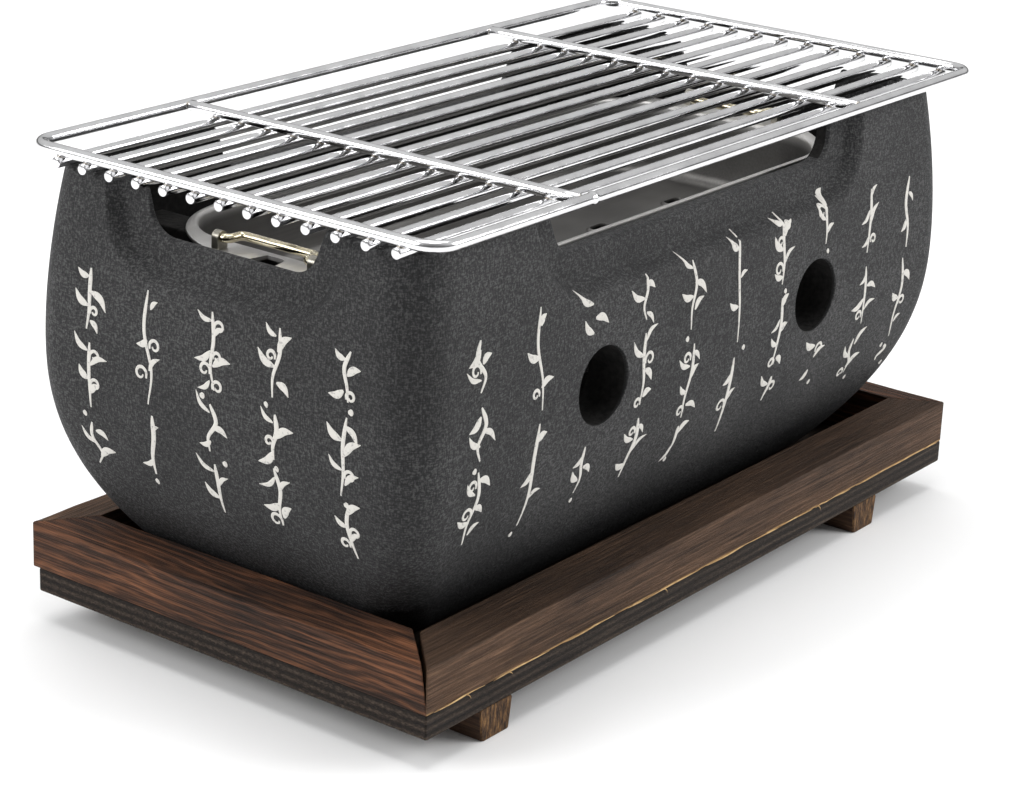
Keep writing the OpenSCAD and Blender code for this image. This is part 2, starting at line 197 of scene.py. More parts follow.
# %% Skin over rows of outlines
def skin(name, rows, caps=(True, True), closed=False, sharp=35):
    """A mesh object from rows of points in millimetres; each row is one closed outline.

    caps says whether the first and the last row are filled; closed joins the last to the first.
    """
    rows = np.asarray(rows, float)
    count, around = rows.shape[0], rows.shape[1]
    index = np.arange(count * around).reshape(count, around)
    last = count if closed else count - 1
    faces = []
    for i in range(last):
        here, there = index[i], index[(i + 1) % count]
        for j in range(around):
            k = (j + 1) % around
            faces.append((here[j], here[k], there[k], there[j]))
    if caps[0] and not closed:
        faces.append(tuple(index[0][::-1]))
    if caps[1] and not closed:
        faces.append(tuple(index[-1]))
    mesh = bpy.data.meshes.new(name)
    mesh.from_pydata((rows.reshape(-1, 3) * MM).tolist(), [], [tuple(map(int, f)) for f in faces])
    return show(name, mesh, sharp)


def show(name, mesh, sharp=35):
    """Puts a mesh in the scene, smooth except where faces meet at more than sharp degrees.

    Slits that a cut may leave between its small faces are closed first.
    """
    turned_out = bmesh.new()
    turned_out.from_mesh(mesh)
    bmesh.ops.remove_doubles(turned_out, verts=turned_out.verts, dist=1e-7)
    bmesh.ops.holes_fill(turned_out, edges=turned_out.edges, sides=4)
    bmesh.ops.recalc_face_normals(turned_out, faces=turned_out.faces)
    turned_out.to_mesh(mesh)
    turned_out.free()
    mesh.shade_smooth()
    mesh.set_sharp_from_angle(angle=math.radians(sharp))
    piece = bpy.data.objects.new(name, mesh)
    bpy.context.scene.collection.objects.link(piece)
    return piece


print("skin helper ready")

# %% [markdown]
# Skins are then joined, cut with one another and given their finish. A piece also says which
# body of the frame it rides on and which nodes it stands for, so that it moves as they do.

# %% Fit out, join and cut pieces
def fit_out(piece, body, finish, slot, *nodes):
    """Gives a piece its finish, its body and the nodes it stands for; slot is not used."""
    piece.data.materials.clear()
    piece.data.materials.append(finish)
    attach(piece, body)
    if nodes:
        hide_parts(*nodes)
    return piece


def join(name, pieces, sharp=35):
    """One piece from several that share a finish."""
    joined = bmesh.new()
    for piece in pieces:
        joined.from_mesh(piece.data)
        bpy.data.objects.remove(piece)
    mesh = bpy.data.meshes.new(name)
    joined.to_mesh(mesh)
    joined.free()
    return show(name, mesh, sharp)


def carve(piece, cutter, sharp=35):
    """Cuts one piece's shape out of another and removes the cutter."""
    cut = piece.modifiers.new("cut", "BOOLEAN")
    cut.operation = "DIFFERENCE"
    cut.solver = "EXACT"
    cut.object = cutter
    settle(piece, sharp)
    bpy.data.objects.remove(cutter)
    return piece


def settle(piece, sharp=35):
    """Applies a piece's modifiers to its mesh."""
    bpy.context.view_layer.update()
    graph = bpy.context.evaluated_depsgraph_get()
    mesh = bpy.data.meshes.new_from_object(piece.evaluated_get(graph))
    piece.modifiers.clear()
    piece.data = mesh
    mesh.shade_smooth()
    mesh.set_sharp_from_angle(angle=math.radians(sharp))


def span(node):
    """Lowest and highest corner of a frame node, in millimetres."""
    low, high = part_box(node)
    return np.array(low) / MM, np.array(high) / MM


def smooth_step(value, low, high):
    t = np.clip((np.asarray(value, float) - low) / (high - low), 0, 1)
    return t * t * (3 - 2 * t)


print("mesh helpers ready")

# %% [markdown]
# ## The camera
# The camera looks at the left end and the front together, a little from above, through a fairly
# long lens. It is placed first, so that every later step can be looked at.

# %% Camera
CAMERA_PLACE = (-567.0, -410.9, 298.0)
CAMERA_YAW = 53.63
CAMERA_PITCH = 20.01
CAMERA_ROLL = 2.43
FOCAL_IN_WIDTHS = 2774 / 1009
SENSOR = 36.0


def camera_axes(yaw, pitch, roll):
    """Right, up and forward of a camera that is turned, tipped down and then rolled."""
    yaw, pitch, roll = (math.radians(v) for v in (yaw, pitch, roll))
    flat = math.cos(pitch)
    forward = Vector((math.sin(yaw) * flat, math.cos(yaw) * flat, -math.sin(pitch)))
    right = Vector((math.cos(yaw), -math.sin(yaw), 0))
    up = right.cross(forward)
    rolled_right = right * math.cos(roll) + up * math.sin(roll)
    rolled_up = up * math.cos(roll) - right * math.sin(roll)
    return rolled_right, rolled_up, forward


camera_data = bpy.data.cameras.new("studio_camera")
camera_data.sensor_width = SENSOR
camera_data.lens = SENSOR * FOCAL_IN_WIDTHS
camera_data.clip_end = 20
camera = bpy.data.objects.new("studio_camera", camera_data)
bpy.context.scene.collection.objects.link(camera)
right, up, forward = camera_axes(CAMERA_YAW, CAMERA_PITCH, CAMERA_ROLL)
turn = camera.matrix_world.to_3x3()
turn.col[0], turn.col[1], turn.col[2] = right, up, -forward
camera.matrix_world = turn.to_4x4()
camera.location = Vector(CAMERA_PLACE) * MM
bpy.context.scene.camera = camera
print("lens, mm:", round(camera_data.lens, 1))

# %% [markdown]
# ## The floor and the light
# A plain pale floor lies under the grill. One large soft light hangs above it and one stands at
# each open side. A world of one even white would leave polished wire without any drawing, so the
# room has a dark band above the horizon and a dim side behind the camera.

# %% Floor and light
FLOOR_REACH = 3000
FLOOR_THICK = 6
LIGHTS = (
    ("overhead", (0.0, 0.1, 1.5), (0, 0, 0.05), 1.1, 13),
    ("left_box", (-1.05, 0.62, 0.72), (-0.05, 0, 0.05), 0.7, 10),
    ("right_box", (0.75, -1.1, 0.75), (0.05, 0, 0.05), 0.7, 12),
)


def make_floor():
    far = FLOOR_REACH
    corners = ((-far, -far), (far, -far), (far, far), (-far, far))
    floor = skin("studio_floor", [[(x, y, z) for x, y in corners] for z in (-FLOOR_THICK, 0)])
    finish, shader, place = start_finish("pale_floor", Roughness=0.6)
    tint = place.grain(0.01, 3).blend((0.93, 0.93, 0.93, 1), (0.95, 0.95, 0.95, 1))
    finish_with(shader, Base_Color=tint)
    floor.data.materials.append(finish)


def soft_light(name, place, aim, size, watts):
    """A square area light at place, facing aim; both in metres."""
    data = bpy.data.lights.new(name, "AREA")
    data.size = size
    data.energy = watts
    light = bpy.data.objects.new(name, data)
    bpy.context.scene.collection.objects.link(light)
    light.location = place
    light.rotation_euler = (Vector(aim) - Vector(place)).to_track_quat("-Z", "Y").to_euler()


def studio_world():
    """A white room with a dark band above the horizon and a dim side where the camera stands."""
    world = bpy.data.worlds.new("studio_white")
    world.use_nodes = True
    tree = world.node_tree
    way = Flow(tree).node("ShaderNodeTexCoord", None, None, output=0)
    tones = way.part("Z").ramp([
        (0.02, (0.85, 0.85, 0.85)), (0.06, (0.05, 0.05, 0.05)), (0.16, (0.06, 0.06, 0.06)),
        (0.24, (0.7, 0.7, 0.7)), (0.9, (0.95, 0.95, 0.95)),
    ])
    toward = way.node("ShaderNodeVectorMath", {"operation": "DOT_PRODUCT"},
                      {0: way, 1: (-0.80, -0.59, 0.1)}, output=1)
    dim_side = (toward.between(0.25, 0.95) * 0.7).blend(tones, (0.05, 0.05, 0.05, 1))
    tree.links.new(dim_side.socket, tree.nodes["Background"].inputs["Color"])
    tree.nodes["Background"].inputs["Strength"].default_value = 0.8
    bpy.context.scene.world = world


make_floor()
studio_world()
for light in LIGHTS:
    soft_light(*light)
bpy.context.scene.view_settings.view_transform = "Standard"

# %% [markdown]
# ## The cast body
# The body is one casting: walls that swell to a belly and draw in above and below it, round
# upright corners, four towers, and between them notches whose edges are set in by a soft
# recessed band. A box with bevels can't follow that, so the shape is written as a rule: how far
# the wall lies inside the belly at a height, and how far the band draws it in near a notch.

# %% The body's driving sizes
BELLY_HEIGHT = 61.7
SEAT_INSET = 14.5
SEAT_HEIGHT = 13.2
TOP_DRAW = 4.0
LOWER_CURVE = 2.35
UPPER_CURVE = 1.8
CORNER = 12.0
RIM_CORNER = 7.5
WALL = 4.5
FLOOR = 5.0
RIM_DEPTH = {"end": 8.5, "side": 11.5}
NOTCH_DEPTH = 11.8
NOTCH_CORNER = 8.0
NOTCH_LEAN = math.radians(75)
NOTCH_FLOOR = {"end": 18.2, "side": 54.1}
BAND_REACH = 10.8
BAND_FLAT = 6.8
BAND_DEPTH = {"end": 3.9, "side": 4.3}
AIR_HOLE = 19.7
AIR_HOLE_X = 48.7
AIR_HOLE_HEIGHT = 60.2

body_low, body_high = span("body_casting")
BELLY_X, BELLY_Y = (body_high[:2] - body_low[:2]) / 2
BODY_MIDDLE = (body_high[:2] + body_low[:2]) / 2
BODY_HEIGHT = body_high[2] - body_low[2]
FOOT_Z = body_low[2]


def stand(piece):
    """Moves a piece drawn about the body's own middle to where the body stands in the tray."""
    piece.location = (BODY_MIDDLE[0] * MM, BODY_MIDDLE[1] * MM, 0)
    return piece


print("body, mm:", BELLY_X * 2, BELLY_Y * 2, BODY_HEIGHT)

# %% [markdown]
# The rule itself is four short functions. Below the belly the wall draws in like a boat's side,
# above it only a little. Around a notch the band sets the wall in by a soft step, and the rim
# climbs out of the notch's rounded corner on to the tower.

# %% The rule of the walls
def side_inset(height):
    """How far the wall lies inside the belly at a height above the foot."""
    height = np.asarray(height, float)
    below = np.clip((BELLY_HEIGHT - height) / (BELLY_HEIGHT - SEAT_HEIGHT), 0, None)
    above = np.clip((height - BELLY_HEIGHT) / (BODY_HEIGHT - BELLY_HEIGHT), 0, None)
    return SEAT_INSET * below ** LOWER_CURVE + TOP_DRAW * above ** UPPER_CURVE


def notch_distance(kind, across, height):
    """Distance from a point of the wall to the notch's edge, negative inside the notch."""
    x = np.abs(across) - NOTCH_FLOOR[kind]
    y = height - (BODY_HEIGHT - NOTCH_DEPTH) - NOTCH_CORNER
    sin, cos = math.sin(NOTCH_LEAN), math.cos(NOTCH_LEAN)
    beyond_side = x * sin - y * cos
    along_side = x * cos + y * sin
    corner = np.hypot(x, y)
    distance = np.where(along_side >= 0, beyond_side, np.where(x <= 0, -y, corner))
    return distance - NOTCH_CORNER


def band_inset(kind, across, height):
    """How far the recessed band draws the wall in around a notch."""
    distance = notch_distance(kind, across, height)
    return BAND_DEPTH[kind] * (1 - smooth_step(distance, BAND_FLAT, BAND_REACH))


def rim_height(kind, across):
    """Height of the rim above the foot, with the towers' edges rounded over."""
    x = np.abs(across) - NOTCH_FLOOR[kind]
    reach = NOTCH_CORNER * math.sin(NOTCH_LEAN)
    rise = NOTCH_CORNER * (1 - math.cos(NOTCH_LEAN))
    arc = NOTCH_CORNER - np.sqrt(np.clip(NOTCH_CORNER ** 2 - np.clip(x, 0, reach) ** 2, 0, None))
    climb = np.where(x > reach, rise + (x - reach) * math.tan(NOTCH_LEAN), arc)
    ease = 3.0
    mix = np.clip(0.5 + 0.5 * (NOTCH_DEPTH - climb) / ease, 0, 1)
    eased = NOTCH_DEPTH * (1 - mix) + climb * mix - ease * mix * (1 - mix)
    return BODY_HEIGHT - NOTCH_DEPTH + np.minimum(eased, NOTCH_DEPTH)


print("notch floor height, mm:", round(float(rim_height("side", 0)), 2))

# %% [markdown]
# A walk around the wall meets four straight stretches and four corner arcs. Each stop on the
# walk is a column of the mesh. The stops crowd together near the notches' sides, where the rim
# climbs steeply, and spread out where nothing happens.

# %% Stops around the wall
def straight_stops(kind, half):
    """Places along one wall, close together around the notch's sides."""
    near, far = NOTCH_FLOOR[kind] - 9, min(NOTCH_FLOOR[kind] + 24, half)
    middle = np.arange(0, near, 2.4)
    steep = np.arange(near, far, 0.6)
    rest = np.linspace(far, half, max(2, int((half - far) / 2.4) + 1))
    one_side = np.concatenate([middle, steep, rest])
    return np.concatenate([-one_side[::-1], one_side[1:]])


def walk():
    """Every stop as (wall, place): a wall's name and a distance, or a corner and an angle."""
    half_x, half_y = BELLY_X - CORNER, BELLY_Y - CORNER
    stops = []
    turns = np.linspace(0, 90, 19)[1:-1]
    for wall, kind, half, start in (
        ("front", "side", half_x, -90),
        ("right", "end", half_y, 0),
        ("back", "side", half_x, 90),
        ("left", "end", half_y, 180),
    ):
        stops += [(wall, float(u)) for u in straight_stops(kind, half)]
        stops += [("corner", float(start + a)) for a in turns]
    return stops


FACING = {"front": (0, -1), "right": (1, 0), "back": (0, 1), "left": (-1, 0)}


def wall_places(stops, height, half_x, half_y, corner):
    """Outline of a rounded rectangle at the given stops, as an array of x and y."""
    full_x, full_y = BELLY_X - CORNER, BELLY_Y - CORNER
    free_x, free_y = half_x - corner, half_y - corner
    keep = smooth_step(height, 60, 85)
    places = []
    for wall, u in stops:
        if wall == "corner":
            a = math.radians(u)
            sx = 1 if -90 < u < 90 else -1
            sy = 1 if 0 < u < 180 else -1
            places.append((sx * free_x + corner * math.cos(a), sy * free_y + corner * math.sin(a)))
            continue
        full, free = (full_x, free_x) if wall in ("front", "back") else (full_y, free_y)
        held = 0.72 * full
        scaled = u * free / full
        ends = math.copysign(held + (abs(u) - held) * (free - held) / (full - held), u)
        kept = u if abs(u) <= held else ends
        along = scaled + (kept - scaled) * keep
        nx, ny = FACING[wall]
        places.append((-ny * along + nx * half_x, nx * along + ny * half_y))
    return np.array(places)


STOPS = walk()
print("stops around the wall:", len(STOPS))

# %% [markdown]
# At each stop the casting is cut like a slice of cake: along the underside, up the outer wall,
# round over the rim, down the inside and along the floor. Rows of such points make the skin.

# %% Rows of the casting
def outward(stops):
    """Unit directions out of the wall at each stop."""
    out = []
    for wall, u in stops:
        a = math.radians(u)
        out.append((math.cos(a), math.sin(a)) if wall == "corner" else FACING[wall])
    return np.array(out)


def kind_of(wall):
    return "side" if wall in ("front", "back") else "end"


def along_wall(stops, heights):
    """For each stop: its rim height, and the band's inset at the given height of each stop."""
    rims = np.full(len(stops), BODY_HEIGHT)
    insets = np.zeros(len(stops))
    for j, (wall, u) in enumerate(stops):
        if wall != "corner":
            rims[j] = rim_height(kind_of(wall), u)
            insets[j] = band_inset(kind_of(wall), u, heights[j])
    return rims, insets


def outer_row(stops, heights):
    """Points of the outer wall, one height for each stop."""
    out = outward(stops)
    row = np.zeros((len(stops), 3))
    inset = side_inset(heights)
    for j, stop in enumerate(stops):
        half_x, half_y = BELLY_X - inset[j], BELLY_Y - inset[j]
        row[j, :2] = wall_places([stop], heights[j], half_x, half_y, CORNER)[0]
    row[:, :2] -= out * along_wall(stops, heights)[1][:, None]
    row[:, 2] = FOOT_Z + heights
    return row


def inner_row(stops, heights):
    """Points of the inner wall, one height for each stop."""
    row = np.zeros((len(stops), 3))
    inset = side_inset(heights)
    for j, stop in enumerate(stops):
        half_x = min(BELLY_X - RIM_DEPTH["end"], BELLY_X - inset[j] - WALL)
        half_y = min(BELLY_Y - RIM_DEPTH["side"], BELLY_Y - inset[j] - WALL)
        row[j, :2] = wall_places([stop], heights[j], half_x, half_y, RIM_CORNER)[0]
    row[:, 2] = FOOT_Z + heights
    return row


print("first point of the foot:", outer_row(STOPS, np.zeros(len(STOPS)))[0].round(2))

# %% [markdown]
# The rows then follow each other in one long list. The rim is rounded on both sides, and the
# round is kept narrower where the wall is thin.

# %% The casting's skin
FOOT_ROUND = 2.0
OUTER_ROUND = 1.3
INNER_ROUND = 1.0
INSIDE_FILLET = 4.0


def shrunk(row, share, lift=0.0):
    """A row drawn in towards the body's middle line."""
    moved = row.copy()
    moved[:, :2] *= share
    moved[:, 2] += lift
    return moved


def cast_body():
    count = len(STOPS)
    rims = along_wall(STOPS, np.zeros(count))[0]
    rows = []
    foot = outer_row(STOPS, np.full(count, 0.0))
    for share in (0.02, 0.4, 0.8):
        rows.append(shrunk(foot, share))
    for a in np.linspace(0, 90, 4):
        h = FOOT_ROUND * (1 - math.cos(math.radians(a)))
        row = outer_row(STOPS, np.full(count, h))
        inward = FOOT_ROUND * (1 - math.sin(math.radians(a)))
        row[:, :2] -= outward(STOPS) * inward
        rows.append(row)
    shares = np.concatenate([np.linspace(0, 0.78, 40)[1:], np.linspace(0.78, 1, 34)[1:]])
    for share in shares:
        rows.append(outer_row(STOPS, FOOT_ROUND + share * (rims - OUTER_ROUND - FOOT_ROUND)))
    crest = rows[-1]
    inside = inner_row(STOPS, rims)
    across = inside[:, :2] - crest[:, :2]
    thick = np.hypot(across[:, 0], across[:, 1])[:, None]
    across = across / thick
    soft_out = np.minimum(OUTER_ROUND, 0.42 * thick)
    soft_in = np.minimum(INNER_ROUND, 0.42 * thick)
    for a in np.radians([20, 40, 60, 80, 90]):
        row = crest.copy()
        row[:, :2] += across * soft_out * (1 - math.cos(a))
        row[:, 2] += OUTER_ROUND * math.sin(a)
        rows.append(row)
    for a in np.radians([90, 75, 55, 35, 15, 0]):
        row = inside.copy()
        row[:, :2] -= across * soft_in * (1 - math.cos(a))
        row[:, 2] -= INNER_ROUND * (1 - math.sin(a))
        rows.append(row)
    wall_top, wall_foot = rims - INNER_ROUND, FLOOR + INSIDE_FILLET
    for share in np.linspace(0, 1, 26)[1:]:
        rows.append(inner_row(STOPS, wall_top + share * (wall_foot - wall_top)))
    base = inner_row(STOPS, np.full(count, wall_foot))
    for share, drop in ((0.985, -2.4), (0.96, -3.6), (0.93, -4.0), (0.5, -4.0), (0.02, -4.0)):
        rows.append(shrunk(base, share, drop))
    return skin("cast_body", rows, sharp=50)


cast_piece = cast_body()
print("cast body faces:", len(cast_piece.data.polygons))

# %% [markdown]
# The air holes are bored through both long walls. Each cutter is turned like a spindle that
# flares a little where it leaves the wall, so that the hole gets the small worn edge that a
# coated casting has. Inside, four lugs stick out of the long walls to carry the pan.

# %% Air holes and lugs
LUG_PLAN = {"near": 20.5, "far": 10.5, "near_tip": 39.1, "far_tip": 29.6}
LUG_DEPTH = 8
LUG_GAP = 1.3


def turned(name, profile, x, z, around=72):
    """A turned solid along Y at a place: profile is a list of (y, radius)."""
    a = np.linspace(0, 2 * math.pi, around, endpoint=False)
    rows = [np.stack([x + r * np.cos(a), np.full(around, y), z + r * np.sin(a)], 1)
            for y, r in profile]
    return skin(name, rows, sharp=30)


def air_hole_cutter(x):
    r = AIR_HOLE / 2
    face = BELLY_Y - float(side_inset(AIR_HOLE_HEIGHT))
    flare = [(face + 2.2, r + 1.9), (face, r + 0.4), (face - 0.4, r + 0.1), (face - 0.9, r)]
    profile = [(-y, radius) for y, radius in flare]
    profile += [(y, radius) for y, radius in reversed(flare)]
    return turned("air_hole_cutter", profile, x, FOOT_Z + AIR_HOLE_HEIGHT)


def lug_outline(side_x, side_y):
    """Plan of one lug, slanted on the inside to clear the pan's round corner."""
    low, high = span("charcoal_pan")
    middle = (low[0] + high[0]) / 2 - BODY_MIDDLE[0]
    reach = (high[0] - low[0]) / 2
    wall = BELLY_Y - RIM_DEPTH["side"] + 2
    near, far = reach - LUG_PLAN["near"], reach - LUG_PLAN["far"]
    plan = [(near, wall), (far, wall), (far, LUG_PLAN["far_tip"]), (near, LUG_PLAN["near_tip"])]
    return [(middle + side_x * x, side_y * y) for x, y in plan]


def lug(side_x, side_y):
    top = span("charcoal_pan")[1][2] - LUG_GAP
    plan = lug_outline(side_x, side_y)
    rows = [[(x, y, z) for x, y in plan] for z in (top - LUG_DEPTH, top - 0.4, top)]
    piece = skin("pan_lug", rows)
    soft = piece.modifiers.new("soft", "BEVEL")
    soft.width = 0.8 * MM
    soft.segments = 3
    settle(piece)
    return piece


for hole_x in (-AIR_HOLE_X, AIR_HOLE_X):
    carve(cast_piece, air_hole_cutter(hole_x), sharp=50)
lugs = [lug(x, y) for x in (-1, 1) for y in (-1, 1)]
body_piece = join("black_cast_body", [cast_piece, *lugs], sharp=50)
print("body with holes and lugs:", len(body_piece.data.polygons), "faces")

# %% [markdown]
# The casting wears a matt black heat-proof coating with a fine leathery tooth, as sprayed and
# baked coatings have, a little like woven cloth. A broad noise clouds the colour. Two fine ones,
# one drawn out level and one upright, cross like threads and make the tooth. The tooth also
# catches light, so the same sum drives the bump and, a little, the roughness.

# %% The black coating
def black_coating():
    finish, shader, place = start_finish("black_leathery_coating", Specular_IOR_Level=0.36)
    cloud = place.grain(0.03, 3, 0.55)
    level = place.stretched(0.8, 0.8, 2.2).grain(1.15, 3, 0.6)
    upright = place.stretched(2.0, 2.0, 0.85).grain(1.15, 3, 0.6)
    weave = level * 0.5 + upright * 0.5
    tone = cloud.between(0.3, 0.7) * 0.2 + weave.between(0.39, 0.62) * 0.8
    colour = tone.ramp([
        (0.0, (0.004, 0.004, 0.0045)),
        (0.5, (0.014, 0.014, 0.015)),
        (1.0, (0.060, 0.060, 0.060)),
    ])
    # Painted shade in the air holes: the coating on each hole's bore is darkened almost to black,
    # where the inside of the hole lies in shadow.
    bore_shade = (place.part("X").size() - AIR_HOLE_X) ** 2.0
    bore_shade = bore_shade + (place.part("Z") - FOOT_Z - AIR_HOLE_HEIGHT) ** 2.0
    bore_shade = 1 - bore_shade.between((AIR_HOLE / 2 + 0.05) ** 2, (AIR_HOLE / 2 + 0.3) ** 2)
    colour = bore_shade.blend(colour, (0.003, 0.003, 0.003, 1))
    rough = 0.70 - weave.between(0.35, 0.7) * 0.14
    finish_with(shader, height=weave, relief=0.42, Base_Color=colour, Roughness=rough)
    return finish


# The inside finish is darker and duller than the coating: painted shade for the hollow of the body
# below the pan, where little light reaches.
def inside_shade():
    finish, shader, place = start_finish("painted_inside_shade", Specular_IOR_Level=0.2)
    flake = place.grain(0.6, 4, 0.6)
    colour = flake.ramp([(0.3, (0.004, 0.004, 0.004)), (0.7, (0.016, 0.015, 0.014))])
    finish_with(shader, height=flake, relief=0.3, Base_Color=colour, Roughness=0.95 - flake * 0.1)
    return finish


def mark_inside(piece, finish):
    """Gives the second finish, the painted shade of the inside, to faces that lie well inside the
    outer wall.
    """
    piece.data.materials.append(finish)
    for face in piece.data.polygons:
        x, y, z = np.array(face.center) / MM
        inset = float(side_inset(z - FOOT_Z))
        depth = min(BELLY_X - inset - abs(x), BELLY_Y - inset - abs(y))
        below_rim = face.normal.z < 0.9 or z < body_high[2] - NOTCH_DEPTH - 2
        if depth > 5.6 and z > FOOT_Z + FLOOR - 1 and below_rim:
            face.material_index = 1


stand(body_piece)
fit_out(body_piece, "fire_body", black_coating(), "black_coated_casting", "body_casting")
mark_inside(body_piece, inside_shade())
print("body finish:", body_piece.data.materials[0].name)

# %% [markdown]
# ## Brushed leaf sprigs
# Cream sprigs are painted down the walls in columns that leave the round corners bare. They
# could be a colour mask in the coating, but a painted stroke has a crisp, slightly raised edge
# and swells and tapers as the brush is pressed. So each stroke is a thin ribbon that follows
# the wall's own rule, with a width that changes along it. The motif is leaves on a stem and is
# made from seeded chance, so it is the same on every run.

# %% Where a wall's surface is
PAINT_LIFT = 0.07


def wall_surface(wall, across, height):
    """Points on the outer wall, lifted by the paint's thickness, in millimetres."""
    across = np.asarray(across, float)
    height = np.asarray(height, float)
    kind = kind_of(wall)
    inset = side_inset(height) + band_inset(kind, across, height)
    reach = (BELLY_Y if kind == "side" else BELLY_X) - inset
    nx, ny = FACING[wall]
    return np.stack([
        -ny * across + nx * reach,
        nx * across + ny * reach,
        FOOT_Z + height,
    ], -1)


def wall_normal(wall, across, height):
    here = wall_surface(wall, across, height)
    side = wall_surface(wall, across + 0.2, height) - here
    up_wall = wall_surface(wall, across, height + 0.2) - here
    normal = np.cross(side, up_wall)
    return normal / np.linalg.norm(normal, axis=-1, keepdims=True)


def brush_ribbon(wall, line, widths):
    """Vertices and faces of one stroke along a line of (across, height) points."""
    line = np.asarray(line, float)
    along = np.gradient(line, axis=0)
    along /= np.linalg.norm(along, axis=1, keepdims=True) + 1e-9
    side = np.stack([-along[:, 1], along[:, 0]], 1)
    points = []
    for share, lift in ((-1, -0.05), (-0.93, 0.8), (-0.4, 1), (0.4, 1), (0.93, 0.8), (1, -0.05)):
        spot = line + side * (widths * share / 2)[:, None]
        normal = wall_normal(wall, spot[:, 0], spot[:, 1])
        points.append(wall_surface(wall, spot[:, 0], spot[:, 1]) + normal * PAINT_LIFT * lift)
    rows = np.stack(points, 1)
    count, across = rows.shape[:2]
    faces = []
    for i in range(count - 1):
        for j in range(across - 1):
            a = i * across + j
            faces.append((a, a + 1, a + across + 1, a + across))
    return rows.reshape(-1, 3), faces


print("paint lift, mm:", PAINT_LIFT)

# %% [markdown]
# A sprig is made of three marks: a stem, a teardrop leaf and a thin curl. Each is a smooth line
# through a few points, with a width that says how hard the brush was pressed on the way.

# %% Marks of the brush
def curve_through(points, count):
    """A smooth line through a few points."""
    points = np.asarray(points, float)
    t = np.linspace(0, len(points) - 1, count)
    padded = np.concatenate([[2 * points[0] - points[1]], points, [2 * points[-1] - points[-2]]])
    i = np.minimum(t.astype(int), len(points) - 2)
    f = (t - i)[:, None]
    p0, p1, p2, p3 = padded[i], padded[i + 1], padded[i + 2], padded[i + 3]
    return 0.5 * (2 * p1 + (p2 - p0) * f + (2 * p0 - 5 * p1 + 4 * p2 - p3) * f ** 2
                  + (3 * p1 - p0 - 3 * p2 + p3) * f ** 3)


def stroke(points, width, press=0.35, count=18, start=0.35, end=0.12):
    """A brushed line: its smooth course and its width, widest where the brush is pressed."""
    line = curve_through(points, count)
    t = np.linspace(0, 1, count)
    swell = np.where(t < press, start + (1 - start) * np.sin(t / press * math.pi / 2),
                     end + (1 - end) * np.cos((t - press) / (1 - press) * math.pi / 2))
    return line, width * swell


def leaf(x, y, length, lean, width):
    """A teardrop dab that leaves (x, y) at an angle and curls a little."""
    a = math.radians(lean)
    tip = (x + length * math.cos(a), y + length * math.sin(a))
    bend = 0.16 * length
    middle = ((x + tip[0]) / 2 - bend * math.sin(a), (y + tip[1]) / 2 + bend * math.cos(a))
    return stroke([(x, y), middle, tip], width, press=0.4, start=0.25, end=0.05, count=12)


def tendril(x, y, side, size):
    """A thin curl that leaves the stem and winds in on itself."""
    turns = np.linspace(0, 1, 9)
    angle = math.pi * (1.15 - 2.1 * turns)
    radius = size * 0.5 * (1 - 0.62 * turns)
    across = x + side * (size * 0.5 + radius * np.cos(angle))
    up_by = y + radius * np.sin(angle)
    return stroke(list(zip(across, up_by)), 0.85, press=0.2, start=0.6, end=0.5, count=34)


print("points in one leaf:", len(leaf(0, 0, 5, 30, 2)[0]))

# %% [markdown]
# A column is a chain of stems. Leaves grow to both sides in turn, a curl now and then, and a dot
# between two stems. Strokes that would run over an air hole are left out.

# %% Columns of sprigs
def sprig(chance, x, top, bottom, leafy):
    """All strokes of one painted column: short wandering stems with leaves and dots beside."""
    strokes = []
    y = top
    while y > bottom + 4:
        length = min(chance.uniform(11, 20) if leafy else chance.uniform(20, 34), y - bottom)
        sway = chance.uniform(-1.6, 1.6)
        stem = [
            (x + chance.uniform(-1, 1), y),
            (x + sway, y - length * 0.35),
            (x - sway * 0.8, y - length * 0.7),
            (x + chance.uniform(-1.2, 1.2), y - length),
        ]
        strokes.append(stroke(stem, chance.uniform(1.05, 1.5), press=0.2, end=0.35, count=26))
        side = chance.choice((-1, 1))
        step = 3.6 if leafy else 7.5
        for k in range(int(length / step)):
            at = y - (k + 0.6) * step
            tilt = chance.uniform(18, 52) * chance.choice((1, 1, -1))
            lean = tilt if side > 0 else 180 - tilt
            size = chance.uniform(3.6, 6.6) * (1 if leafy else 0.8)
            strokes.append(leaf(x + side * 0.4, at, size, lean, chance.uniform(1.2, 2.1)))
            if chance.random() < 0.3:
                strokes.append(tendril(x - side * 0.3, at - 1.2, -side, chance.uniform(2.6, 4.2)))
            side = -side
        if chance.random() < 0.7:
            dot_x = x + chance.uniform(-3.5, 3.5)
            dot_y = y - length - 1.6
            dot = [(dot_x, dot_y), (dot_x + 0.5, dot_y - 0.7), (dot_x + 0.7, dot_y - 1.3)]
            strokes.append(stroke(dot, chance.uniform(1.2, 1.7), start=0.5, end=0.3, count=8))
        y -= length + chance.uniform(2.2, 4.2)
    return strokes


def clear_of_holes(kind, line):
    """True for a stroke that keeps off the air holes."""
    if kind == "end":
        return True
    away = np.hypot(np.abs(line[:, 0]) - AIR_HOLE_X, line[:, 1] - AIR_HOLE_HEIGHT)
    return away.min() > AIR_HOLE / 2 + 1.6


COLUMNS = {"end": 5, "side": 10}
COLUMN_REACH = {"end": 40.5, "side": 97.0}


